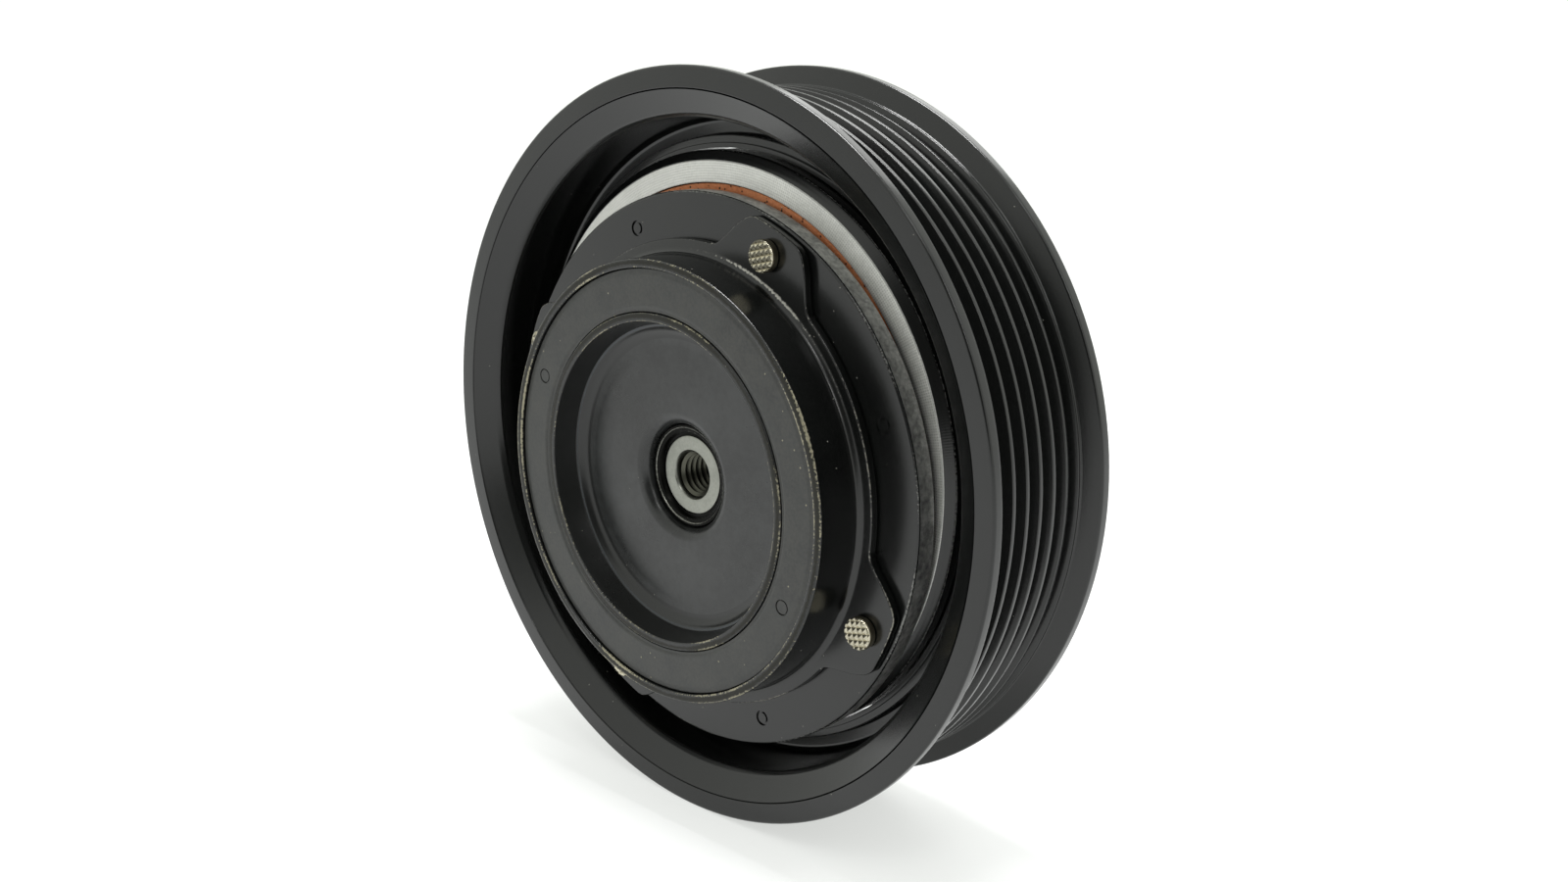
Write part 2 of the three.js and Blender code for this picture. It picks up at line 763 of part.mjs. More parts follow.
add("damper_shell", damperShell(), blackCoat, hubGroup);
earAngles.forEach((angle, i) => add(`ear_rivet_${i + 1}`, rivet(angle), rivetSteel, hubGroup));
add("damper_rubber", damperRubber(), rubber, hubGroup);
add("hub_cup", hubCup(), blackCoat, hubGroup);
add("hub_boss", hubBoss(), machinedFace, hubGroup);
add("air_gap_shim", shim(), bareSteel, hubGroup);

export default group;
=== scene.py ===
# %% [markdown]
# # An electromagnetic clutch, finished round its CAD frame
#
# The clutch of a car's air conditioning compressor has three groups of parts. A ribbed pulley turns with
# the belt on a ball bearing. A coil stands still inside it. A hub, hung in a ring of rubber, carries a
# steel armature that the coil pulls against the pulley's face. The frame holds every part's place and
# motion. This lesson makes the fine surface: rolled edges, a thread, knurled rivets, worn black coat.

import math

import bmesh
import bpy
from mathutils import Matrix, Vector


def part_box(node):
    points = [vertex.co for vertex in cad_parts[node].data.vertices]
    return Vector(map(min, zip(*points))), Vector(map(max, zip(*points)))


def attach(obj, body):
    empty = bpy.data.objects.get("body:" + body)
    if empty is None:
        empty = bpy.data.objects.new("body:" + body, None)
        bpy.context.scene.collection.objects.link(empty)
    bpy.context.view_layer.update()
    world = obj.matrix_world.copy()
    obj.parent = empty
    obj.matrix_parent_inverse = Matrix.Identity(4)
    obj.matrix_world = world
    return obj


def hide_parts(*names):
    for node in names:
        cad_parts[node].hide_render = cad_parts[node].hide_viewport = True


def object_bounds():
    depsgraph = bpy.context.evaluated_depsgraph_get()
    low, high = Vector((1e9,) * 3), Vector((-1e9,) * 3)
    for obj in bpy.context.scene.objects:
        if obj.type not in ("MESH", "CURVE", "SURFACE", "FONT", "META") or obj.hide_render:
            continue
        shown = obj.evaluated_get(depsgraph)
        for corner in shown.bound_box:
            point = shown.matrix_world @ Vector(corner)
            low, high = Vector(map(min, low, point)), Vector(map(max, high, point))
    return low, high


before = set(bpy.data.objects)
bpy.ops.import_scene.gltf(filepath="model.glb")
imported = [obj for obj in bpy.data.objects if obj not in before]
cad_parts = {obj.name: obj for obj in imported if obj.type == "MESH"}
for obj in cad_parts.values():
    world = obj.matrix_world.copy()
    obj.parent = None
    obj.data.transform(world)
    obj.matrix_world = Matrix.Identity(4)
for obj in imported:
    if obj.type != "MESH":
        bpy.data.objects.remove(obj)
cad_low, cad_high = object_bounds()
MM = 0.001

# %% [markdown]
# ## The camera
#
# A camera can be placed by its own numbers, but a maker thinks of a point to look at, a direction and a
# distance. Here the camera looks at a point near the middle of the clutch, from its front right and a
# little above, from about twice the pulley's width away, so the near rim looks larger than the far one.

# %% Camera
VIEW_AZIMUTH = math.radians(43.59)
VIEW_ELEVATION = math.radians(13.78)
VIEW_DISTANCE = 258.4 * MM
LENS = 34.07
SENSOR_WIDTH = 36
aim = Vector((11.8, -21.4, 2.4)) * MM
towards = Vector((
    -math.sin(VIEW_AZIMUTH) * math.cos(VIEW_ELEVATION),
    math.cos(VIEW_AZIMUTH) * math.cos(VIEW_ELEVATION),
    -math.sin(VIEW_ELEVATION),
))

camera = bpy.data.objects.new("camera", bpy.data.cameras.new("camera"))
camera.data.lens = LENS
camera.data.sensor_width = SENSOR_WIDTH
camera.data.clip_start = 10 * MM
camera.location = aim - towards * VIEW_DISTANCE
camera.rotation_euler = towards.to_track_quat("-Z", "Y").to_euler()
scene = bpy.context.scene
scene.collection.objects.link(camera)
scene.camera = camera
print("camera stands at", [round(c / MM) for c in camera.location], "mm")

# %% [markdown]
# ## Measuring the frame
#
# Nearly every part here is turned on a lathe, so three sizes place it: its outer radius, and how far
# forward its rear and front faces stand. That distance is called a station, in millimetres forward from
# the plane where the coil's plate meets the machine. The pulley's axis lies along Y, with the front
# towards -Y. The hub and its armature lie a little lower, because no shaft holds them up yet.

# %% Sizes from the frame
def span(node):
    """The outer radius of a turned part, and the stations of its rear and front faces."""
    low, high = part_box(node)
    return (high.x - low.x) / 2 / MM, -high.y / MM, -low.y / MM


def middle(node):
    """The middle of a part's box, in millimetres."""
    low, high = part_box(node)
    return (low + high) / 2 / MM


HUB_HEIGHT = middle("hub_cup").z
RIM_RADIUS, RIM_REAR, RIM_FRONT = span("pulley_rim")
ROTOR_RADIUS, ROTOR_REAR, ROTOR_FACE = span("rotor")
print(f"rim {RIM_RADIUS:.1f}, stations {RIM_REAR:.1f} to {RIM_FRONT:.1f}, hub axis {HUB_HEIGHT:.2f} mm")

# %% [markdown]
# ## Turning a part
#
# A lathe cuts a part by following its section. Screw or Lathe modifiers could do that, but the spin
# operator gives a mesh at once. The section is drawn as a few corners, each with the radius of its
# rounding, because no machined edge is truly sharp. A vertex bevel rounds the corners while the section
# is still one flat face, and the spin sweeps its edges round the axis.

# %% Turned parts
STEPS = 192


def rounded_section(bm, section, axis_height):
    """Draws a closed section of (radius, station) or (radius, station, rounding) corners."""
    corners = []
    for radius, station, *rounding in section:
        vert = bm.verts.new(Vector((radius, -station, axis_height)) * MM)
        corners.append((vert, rounding[0] if rounding else 0))
    bm.faces.new([vert for vert, _ in corners])
    for size in sorted({size for _, size in corners if size}):
        bmesh.ops.bevel(
            bm,
            geom=[vert for vert, own in corners if own == size],
            offset=size * MM,
            offset_type="OFFSET",
            segments=max(3, round(2.5 * size)),
            profile=0.5,
            affect="VERTICES",
            material=-1,
        )


def spin_section(bm, axis_height, sweep=2 * math.pi, steps=STEPS):
    """Turns the section's outline round the part's axis, into a closed skin."""
    full = sweep >= 2 * math.pi
    if full:
        bmesh.ops.delete(bm, geom=bm.faces[:], context="FACES_ONLY")
    bmesh.ops.spin(
        bm,
        geom=bm.verts[:] + bm.edges[:] + bm.faces[:],
        cent=Vector((0, 0, axis_height)) * MM,
        axis=(0, 1, 0),
        angle=sweep,
        steps=steps,
        use_merge=full,
    )
    bmesh.ops.remove_doubles(bm, verts=bm.verts, dist=1e-6)
    bmesh.ops.holes_fill(bm, edges=[edge for edge in bm.edges if edge.is_boundary])
    bmesh.ops.recalc_face_normals(bm, faces=bm.faces)


def made(name, bm):
    """Turns a finished bmesh into an object whose place is in its mesh."""
    mesh = bpy.data.meshes.new(name)
    bm.to_mesh(mesh)
    bm.free()
    piece = bpy.data.objects.new(name, mesh)
    scene.collection.objects.link(piece)
    return piece


def turned(name, section, axis_height=0, steps=STEPS):
    """A part turned from its section, round an axis at a height in millimetres."""
    bm = bmesh.new()
    rounded_section(bm, section, axis_height)
    spin_section(bm, axis_height, steps=steps)
    return made(name, bm)


print("a full turn takes", STEPS, "steps, so a step on the rim is",
      round(2 * math.pi * RIM_RADIUS / STEPS, 2), "mm long")

# %% Stretches of a ring
def arc_piece(name, inner, outer, rear, front, start, sweep, axis_height=0):
    """A stretch of a ring, from one angle (counted from +X towards +Z) onwards."""
    bm = bmesh.new()
    rounded_section(bm, [(inner, rear), (outer, rear), (outer, front), (inner, front)], axis_height)
    spin_section(bm, axis_height, sweep, steps=max(8, round(STEPS * sweep / (2 * math.pi))))
    turn = Matrix.Rotation(-start - sweep, 4, "Y")
    centre = Matrix.Translation(Vector((0, 0, axis_height)) * MM)
    bmesh.ops.transform(bm, matrix=centre @ turn @ centre.inverted(), verts=bm.verts)
    return made(name, bm)


# %% [markdown]
# ## Cutting and joining
#
# Holes, slots and dimples break a turned part's symmetry. The Boolean modifier cuts them with a second
# solid, and its result is taken over as the part's own mesh. Afterwards the part is shaded smooth, edges
# sharper than a set angle stay crisp, and a Weighted Normal modifier keeps flat faces looking flat.

# %% Cutting, joining and smooth shading
SHARP = math.radians(34)


def combine(piece, tool, operation="DIFFERENCE"):
    """Cuts a piece with a tool, or joins the tool to it. The tool is used up."""
    modifier = piece.modifiers.new("combine", "BOOLEAN")
    modifier.object = tool
    modifier.operation = operation
    modifier.solver = "EXACT"
    graph = bpy.context.evaluated_depsgraph_get()
    result = bpy.data.meshes.new_from_object(piece.evaluated_get(graph))
    piece.modifiers.clear()
    piece.data = result
    bpy.data.objects.remove(tool)


def peg(radius, rear, front, x=0, z=0, segments=48):
    """A round bar along the axis, at a place across it."""
    bm = bmesh.new()
    place = Matrix.Translation(Vector((x, -(rear + front) / 2, z)) * MM)
    bmesh.ops.create_cone(
        bm,
        cap_ends=True,
        segments=segments,
        radius1=radius * MM,
        radius2=radius * MM,
        depth=(front - rear) * MM,
        matrix=place @ Matrix.Rotation(math.radians(90), 4, "X"),
    )
    bmesh.ops.recalc_face_normals(bm, faces=bm.faces)
    return made("peg", bm)


def polar(radius, angle, axis_height=0):
    """The x and z of a place at a radius and an angle, counted from +X towards +Z."""
    return radius * math.cos(angle), axis_height + radius * math.sin(angle)


def smooth(piece):
    """Shades a piece smooth, with crisp edges and flat faces."""
    piece.data.shade_smooth()
    piece.data.set_sharp_from_angle(angle=SHARP)
    weighted = piece.modifiers.new("flat faces stay flat", "WEIGHTED_NORMAL")
    weighted.keep_sharp = True
    return piece


# %% [markdown]
# ## Building materials from shared effects
#
# The finishes share a few effects, so each effect is a node group: a polar map that turns a place into a
# radius and a station, wear along a turned edge, dust, a mottled tone, and the fine grooves of a lathe.
# Each group gives only masks, values and heights. The shader itself stays in the material.

# %% Small helpers for node trees
def wire(tree, source, socket):
    """Sets a socket from a number, a colour or another node's output."""
    if isinstance(source, bpy.types.NodeSocket):
        tree.links.new(source, socket)
    else:
        socket.default_value = source


def maths(tree, operation, *sources):
    """One Math node, from numbers or other nodes' outputs."""
    node = tree.nodes.new("ShaderNodeMath")
    node.operation = operation
    for source, socket in zip(sources, node.inputs):
        wire(tree, source, socket)
    return node.outputs[0]


def length_of(tree, first, second):
    """How far a point lies from a corner, by its two distances from the sides."""
    squares = [maths(tree, "MULTIPLY", side, side) for side in (first, second)]
    return maths(tree, "SQRT", maths(tree, "ADD", *squares))


def place_of(tree):
    return tree.nodes.new("ShaderNodeTexCoord").outputs["Object"]


def noise(tree, scale, detail=2, roughness=0.5):
    """A cloudy pattern fixed to the piece, with so many clouds to the metre."""
    node = tree.nodes.new("ShaderNodeTexNoise")
    wire(tree, place_of(tree), node.inputs["Vector"])
    wire(tree, scale, node.inputs["Scale"])
    node.inputs["Detail"].default_value = detail
    node.inputs["Roughness"].default_value = roughness
    return node.outputs["Fac"]


def stretch(tree, value, low, high, out_low=0.0, out_high=1.0):
    """Maps a value from one range to another, with soft ends."""
    node = tree.nodes.new("ShaderNodeMapRange")
    node.interpolation_type = "SMOOTHSTEP"
    limits = {"From Min": low, "From Max": high, "To Min": out_low, "To Max": out_high}
    wire(tree, value, node.inputs["Value"])
    for label, limit in limits.items():
        wire(tree, limit, node.inputs[label])
    return node.outputs["Result"]


def effect(name, inputs, outputs):
    """Starts a node group. Each input has a name and a starting value."""
    group = bpy.data.node_groups.new(name, "ShaderNodeTree")
    for label, value in inputs.items():
        socket = group.interface.new_socket(label, in_out="INPUT", socket_type="NodeSocketFloat")
        socket.default_value = value
    for label in outputs:
        group.interface.new_socket(label, in_out="OUTPUT", socket_type="NodeSocketFloat")
    given = group.nodes.new("NodeGroupInput").outputs
    out = group.nodes.new("NodeGroupOutput").inputs
    return group, given, out


# %% Polar map: the radius and station of every point, in millimetres
def polar_map_group():
    group, given, out = effect("polar_map", {"Axis Height": 0.0}, ["Radius", "Station", "Angle"])
    split = group.nodes.new("ShaderNodeSeparateXYZ")
    wire(group, place_of(group), split.inputs[0])
    across = maths(group, "MULTIPLY", split.outputs["X"], 1 / MM)
    upwards = maths(group, "MULTIPLY", split.outputs["Z"], 1 / MM)
    height = maths(group, "SUBTRACT", upwards, given["Axis Height"])
    wire(group, length_of(group, across, height), out["Radius"])
    wire(group, maths(group, "MULTIPLY", split.outputs["Y"], -1 / MM), out["Station"])
    wire(group, maths(group, "ARCTAN2", height, across), out["Angle"])
    return group


# %% Edge wear: a broken band round one turned edge
BROAD_BREAKS = 70.0
WEAR_BEGINS = 0.35
WEAR_FULL = 0.75


def edge_wear_group():
    inputs = {
        "Radius": 0,
        "Station": 0,
        "At Radius": 0,
        "At Station": 0,
        "Width": 0.5,
        "Breakup": 1,
        "Grain": 2300,
    }
    group, given, out = effect("edge_wear", inputs, ["Mask"])
    off_radius = maths(group, "SUBTRACT", given["Radius"], given["At Radius"])
    off_station = maths(group, "SUBTRACT", given["Station"], given["At Station"])
    widths_off = maths(group, "DIVIDE", length_of(group, off_radius, off_station), given["Width"])
    nearness = maths(group, "SUBTRACT", 1.0, widths_off)
    grain = maths(group, "SUBTRACT", noise(group, given["Grain"], 4, 0.7), 0.5)
    broad = maths(group, "SUBTRACT", noise(group, BROAD_BREAKS, 1), 0.5)
    breaks = maths(group, "MULTIPLY", maths(group, "ADD", grain, broad), given["Breakup"])
    worn = maths(group, "ADD", nearness, breaks)
    wire(group, stretch(group, worn, WEAR_BEGINS, WEAR_FULL), out["Mask"])
    return group


# %% Dust: a few pale specks, one in some of the cells of a Voronoi pattern
def dust_group():
    group, given, out = effect("dust", {"Cells": 700, "Size": 0.14, "Amount": 0.1}, ["Mask"])
    cells = group.nodes.new("ShaderNodeTexVoronoi")
    wire(group, place_of(group), cells.inputs["Vector"])
    wire(group, given["Cells"], cells.inputs["Scale"])
    chance = group.nodes.new("ShaderNodeSeparateColor")
    wire(group, cells.outputs["Color"], chance.inputs[0])
    close = maths(group, "LESS_THAN", cells.outputs["Distance"], given["Size"])
    chosen = maths(group, "LESS_THAN", chance.outputs[0], given["Amount"])
    wire(group, maths(group, "MULTIPLY", close, chosen), out["Mask"])
    return group


# %% Mottle: a slow change of tone with finer smudges in it
def mottle_group():
    group, given, out = effect("mottle", {"Broad": 60, "Fine": 900, "Fine Share": 0.35}, ["Value"])
    broad = noise(group, given["Broad"], 3, 0.6)
    fine = noise(group, given["Fine"], 3, 0.6)
    mixed = group.nodes.new("ShaderNodeMix")
    wire(group, given["Fine Share"], mixed.inputs["Factor"])
    wire(group, broad, mixed.inputs["A"])
    wire(group, fine, mixed.inputs["B"])
    wire(group, stretch(group, mixed.outputs["Result"], 0.3, 0.7), out["Value"])
    return group


# %% Lathe grooves: fine circles, some deeper than others, and a cross pattern where a face is ground
GROOVE_DEPTHS = 140.0
CROSS_SPOKES = 720.0


def lathe_group():
    group, given, out = effect(
        "lathe", {"Radius": 0, "Station": 0, "Angle": 0, "Pitch": 0.3, "Cross": 0.0}, ["Height"]
    )
    along = maths(group, "ADD", given["Radius"], given["Station"])
    grooves = maths(group, "DIVIDE", along, given["Pitch"])
    ripple = maths(group, "SINE", maths(group, "MULTIPLY", grooves, 2 * math.pi))
    deep = noise(group, GROOVE_DEPTHS, 2)
    spokes = maths(group, "SINE", maths(group, "MULTIPLY", given["Angle"], CROSS_SPOKES))
    crossed = maths(group, "MULTIPLY", spokes, given["Cross"])
    circles = maths(group, "MULTIPLY", ripple, deep)
    wire(group, maths(group, "ADD", circles, crossed), out["Height"])
    return group


effects = {
    "polar_map": polar_map_group(),
    "edge_wear": edge_wear_group(),
    "dust": dust_group(),
    "mottle": mottle_group(),
    "lathe": lathe_group(),
}
print("effects:", ", ".join(effects))

# %% [markdown]
# ## The start of a finish
#
# A finish starts from a Principled shader. What is the same all over is set on its own sockets, and what
# changes over the surface is wired in. Colours are laid on top of each other, as paint and dirt are. A
# Mix node has a set of sockets for each type of data, under the same names, so the sockets for colours
# are found by their numbers.

# %% The start of a finish
COLOUR_A, COLOUR_B, COLOUR_RESULT = 6, 7, 2


class Finish:
    """One material: its tree, its shader and the polar map of the axis it turns round."""

    def __init__(self, name, colour, roughness, metallic=0.0, axis_height=0.0, **constants):
        self.material = bpy.data.materials.new(name)
        self.material.use_nodes = True
        self.tree = self.material.node_tree
        self.shader = self.tree.nodes["Principled BSDF"]
        self.shader.inputs["Metallic"].default_value = metallic
        self.shader.inputs["Roughness"].default_value = roughness
        self.shader.inputs["Base Color"].default_value = (*colour, 1)
        for label, value in constants.items():
            self.shader.inputs[label.replace("_", " ").title()].default_value = value
        self.colour = (*colour, 1)
        self.roughness = roughness
        self.metallic = metallic
        self.height = None
        self.polar = self.use("polar_map", **{"Axis Height": axis_height})

    def use(self, effect_name, **values):
        node = self.tree.nodes.new("ShaderNodeGroup")
        node.node_tree = effects[effect_name]
        for label, value in values.items():
            wire(self.tree, value, node.inputs[label])
        return node.outputs

    def mottle(self, broad, fine, share):
        return self.use("mottle", **{"Broad": broad, "Fine": fine, "Fine Share": share})["Value"]

    def dust(self, cells, size, amount):
        return self.use("dust", **{"Cells": cells, "Size": size, "Amount": amount})["Mask"]

    def grain(self, scale, detail=2, roughness=0.5):
        return noise(self.tree, scale, detail, roughness)

    def product(self, *sources):
        """Masks and numbers multiplied together."""
        total = sources[0]
        for source in sources[1:]:
            total = maths(self.tree, "MULTIPLY", total, source)
        return total

    def below(self, value, limit):
        return maths(self.tree, "LESS_THAN", value, limit)

    def above(self, value, limit):
        return maths(self.tree, "GREATER_THAN", value, limit)

    def lay(self, mask, colour=None, roughness=None, metallic=None):
        """Lays a second look over the first where the mask is 1."""
        for attribute, value in (("colour", colour), ("roughness", roughness), ("metallic", metallic)):
            if value is None:
                continue
            mix = self.tree.nodes.new("ShaderNodeMix")
            if attribute == "colour":
                mix.data_type = "RGBA"
                value = (*value, 1) if isinstance(value, tuple) else value
                first, second = mix.inputs[COLOUR_A], mix.inputs[COLOUR_B]
                result = mix.outputs[COLOUR_RESULT]
            else:
                first, second = mix.inputs["A"], mix.inputs["B"]
                result = mix.outputs["Result"]
            wire(self.tree, mask, mix.inputs["Factor"])
            wire(self.tree, getattr(self, attribute), first)
            wire(self.tree, value, second)
            setattr(self, attribute, result)

    def wear(self, radius, station, width, breakup=1.0):
        """A broken band round the edge at a radius and a station, both in millimetres."""
        return self.use("edge_wear", **{
            "Radius": self.polar["Radius"],
            "Station": self.polar["Station"],
            "At Radius": radius,
            "At Station": station,
            "Width": width,
            "Breakup": breakup,
        })["Mask"]

    def lathe(self, pitch, cross=0.0):
        return self.use("lathe", **{
            "Radius": self.polar["Radius"],
            "Station": self.polar["Station"],
            "Angle": self.polar["Angle"],
            "Pitch": pitch,
            "Cross": cross,
        })["Height"]

    def raise_by(self, height, depth):
        """Adds a height in metres to the bump."""
        tall = maths(self.tree, "MULTIPLY", height, depth / MM)
        self.height = tall if self.height is None else maths(self.tree, "ADD", self.height, tall)

    def done(self):
        """Wires what changes over the surface into the shader, and gives the material."""
        sockets = {"colour": "Base Color", "roughness": "Roughness", "metallic": "Metallic"}
        for attribute, socket in sockets.items():
            source = getattr(self, attribute)
            if isinstance(source, bpy.types.NodeSocket):
                wire(self.tree, source, self.shader.inputs[socket])
        if self.height is not None:
            bump = self.tree.nodes.new("ShaderNodeBump")
            bump.inputs["Distance"].default_value = MM
            wire(self.tree, self.height, bump.inputs["Height"])
            wire(self.tree, bump.outputs["Normal"], self.shader.inputs["Normal"])
        return self.material


# %% Handing a piece over to its body
def finish(piece, body, material, node):
    """Gives a piece its material and its body, and hides the CAD part that it stands for."""
    piece.data.materials.clear()
    piece.data.materials.append(material)
    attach(piece, body)
    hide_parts(node)
    print(f"{piece.name}: {len(piece.data.polygons)} faces, rides on {body}")


# %% [markdown]
# ## The black coat
#
# Pulley, armature and damper shell are dipped in the same satin black coat. It is not quite even: it has
# a faint orange-peel skin, greyer patches where hands and tools rubbed it, and it wears through to bright
# steel along the edges that knock against other parts. Each part passes in the edges where it is worn.

# %% Black coat
COAT = (0.0028, 0.0031, 0.003)
COAT_RUBBED = (0.0075, 0.008, 0.0076)
BRIGHT_EDGE = (0.36, 0.35, 0.32)
BRASSY_EDGE = (0.27, 0.25, 0.18)
DULL_RIM = (0.02, 0.0195, 0.016)
PALE_DUST = (0.2, 0.195, 0.17)
ORANGE_PEEL = 2600.0


def black_coat(name, axis_height=0.0, worn=(), roughness=0.17, dusty=0.03):
    """Each worn edge has a radius, a station, a width, how broken it is and a colour."""
    coat = Finish(name, COAT, roughness, axis_height=axis_height)
    tone = coat.mottle(45.0, 1100.0, 0.4)
    coat.lay(coat.product(tone, 0.5), colour=COAT_RUBBED, roughness=roughness + 0.07)
    for radius, station, width, breakup, colour in worn:
        mask = coat.wear(radius, station, width, breakup)
        coat.lay(mask, colour=colour, roughness=0.42, metallic=0.75)
    specks = coat.dust(800.0, 0.085, dusty)
    coat.lay(specks, colour=PALE_DUST, roughness=0.8)
    coat.raise_by(coat.grain(ORANGE_PEEL), 0.002 * MM)
    return coat


# %% [markdown]
# ## The ribbed pulley
#
# Seven V grooves carry the belt between two flanges. The grooves repeat at the belt's rib pitch, so a
# loop draws them. The front face steps down through a fine line and a cone to the deep bowl, and a web
# near the back joins the rim to the rotor.

# %% Pulley rim
GROOVES = 7
GROOVE_PITCH = 3.56
FIRST_GROOVE = 4.5
GROOVE_ROOT_HALF = 0.3
GROOVE_TOP_HALF = 1.39
CREST_RADIUS = 62.6
ROOT_RADIUS = 59.6
BOWL_RADIUS = 57.5
FLANGE_RIM = 2.1
REAR_FLANK = 1.105
FACE_LINE = 62.2
WEB_FRONT = RIM_FRONT - 15
WEB_REAR = WEB_FRONT - 4
BOSS_RADIUS = ROTOR_RADIUS + 0.25


def rim_section():
    section = [
        (FACE_LINE + 0.16, RIM_FRONT, 0.1),
        (RIM_RADIUS, RIM_FRONT, 0.5),
        (RIM_RADIUS, RIM_FRONT - FLANGE_RIM, 0.35),
    ]
    for i in range(GROOVES):
        groove = RIM_FRONT - FIRST_GROOVE - i * GROOVE_PITCH
        if i > 0:
            section.append((CREST_RADIUS, groove + GROOVE_TOP_HALF, 0.16))
        section.append((ROOT_RADIUS, groove + GROOVE_ROOT_HALF, 0.2))
        section.append((ROOT_RADIUS, groove - GROOVE_ROOT_HALF, 0.2))
        section.append((CREST_RADIUS, groove - GROOVE_TOP_HALF, 0.16))
    return section + [
        (CREST_RADIUS, RIM_REAR + FLANGE_RIM + REAR_FLANK, 0.3),
        (RIM_RADIUS, RIM_REAR + FLANGE_RIM, 0.35),
        (RIM_RADIUS, RIM_REAR, 0.42),
        (BOWL_RADIUS, RIM_REAR, 0.4),
        (BOWL_RADIUS, WEB_REAR, 2.0),
        (BOSS_RADIUS + 1.4, WEB_REAR, 0.4),
        (BOSS_RADIUS + 1.0, WEB_REAR + 0.35),
        (BOSS_RADIUS, WEB_REAR + 0.35),
        (BOSS_RADIUS, WEB_FRONT + 3),
        (BOSS_RADIUS + 0.9, WEB_FRONT + 3, 0.12),
        (BOSS_RADIUS + 0.9, WEB_FRONT + 2.5),
        (BOSS_RADIUS + 2.2, WEB_FRONT + 2.5, 0.25),
        (BOSS_RADIUS + 2.2, WEB_FRONT, 0.4),
        (BOWL_RADIUS, WEB_FRONT, 1.0),
        (BOWL_RADIUS, RIM_FRONT - 3.5, 0.3),
        (BOWL_RADIUS + 0.7, RIM_FRONT - 2.5, 0.3),
        (FACE_LINE - 0.3, RIM_FRONT - 0.18, 0.12),
        (FACE_LINE - 0.12, RIM_FRONT - 0.06),
        (FACE_LINE, RIM_FRONT - 0.34),
    ]


pulley_coat = black_coat("pulley_coat", worn=[
    (BOSS_RADIUS + 2.2, WEB_FRONT + 2.5, 0.35, 0.8, (0.1, 0.1, 0.095)),
])
pulley_coat.raise_by(pulley_coat.lathe(0.55), 0.0003 * MM)
rim = turned("ribbed_rim", rim_section())
finish(smooth(rim), "pulley", pulley_coat.done(), "pulley_rim")

# %% [markdown]
# ## The rotor
#
# The rotor is a steel cup open to the back. Its front is the friction face that the armature slides
# against, ground bright with fine crossing marks, while the rest keeps the black coat. One row of curved
# slots stops the magnet's field from taking a short way through the face.

# %% Rotor
ROTOR_OPEN_END = 8.5
ROTOR_CHAMFER = 1.26
ROTOR_WALL = 47.5
SLEEVE_BORE = 27.75
SLEEVE_RADIUS = 30.35
FACE_RADIUS = 50.2
FACE_REAR = ROTOR_FACE - 6
LINING_OUTER, LINING_REAR, LINING_FRONT = span("friction_ring")
LINING_WIDTH = 2.2
LINING_GAP = 0.12
SEAT_INNER = LINING_OUTER - LINING_WIDTH - LINING_GAP
SEAT_OUTER = LINING_OUTER + LINING_GAP
SEAT_FLOOR = LINING_REAR - 0.2
SNAP_GROOVE = 1.15
_, SNAP_REAR, SNAP_FRONT = span("rotor_snap_ring")
BEARING_RADIUS, BEARING_REAR, BEARING_FRONT = span("bearing_outer_ring")

rotor = turned("rotor_cup", [
    (SLEEVE_BORE, ROTOR_FACE, 0.3),
    (SEAT_INNER, ROTOR_FACE, 0.12),
    (SEAT_INNER, SEAT_FLOOR),
    (SEAT_OUTER, SEAT_FLOOR),
    (SEAT_OUTER, ROTOR_FACE, 0.12),
    (FACE_RADIUS, ROTOR_FACE, 0.12),
    (ROTOR_RADIUS, ROTOR_FACE - ROTOR_CHAMFER, 0.3),
    (ROTOR_RADIUS, ROTOR_OPEN_END, 0.4),
    (ROTOR_WALL, ROTOR_OPEN_END, 0.4),
    (ROTOR_WALL, FACE_REAR, 0.8),
    (SLEEVE_RADIUS, FACE_REAR, 0.8),
    (SLEEVE_RADIUS, ROTOR_REAR, 0.3),
    (BEARING_RADIUS - 1, ROTOR_REAR, 0.2),
    (BEARING_RADIUS - 1, BEARING_REAR - 0.2),
    (SLEEVE_BORE, BEARING_REAR - 0.2),
    (SLEEVE_BORE, SNAP_REAR - 0.1),
    (SLEEVE_BORE + SNAP_GROOVE, SNAP_REAR - 0.1),
    (SLEEVE_BORE + SNAP_GROOVE, SNAP_FRONT + 0.1),
    (SLEEVE_BORE, SNAP_FRONT + 0.1),
])

# %% The rotor's slots
SLOT_RADIUS = 32.25
SLOT_HALF = 1.1
SLOTS = 6
SLOT_SWEEP = math.radians(48)


def curved_slot(radius, rear, front, angle, sweep, axis_height=0):
    """A cutter for a curved slot that has its middle at an angle."""
    inner, outer = radius - SLOT_HALF, radius + SLOT_HALF
    return arc_piece("slot", inner, outer, rear, front, angle - sweep / 2, sweep, axis_height)


for i in range(SLOTS):
    angle = (i + 0.5) * 2 * math.pi / SLOTS
    combine(rotor, curved_slot(SLOT_RADIUS, FACE_REAR - 1, ROTOR_FACE + 1, angle, SLOT_SWEEP))
print("slots in the rotor's face:", SLOTS)


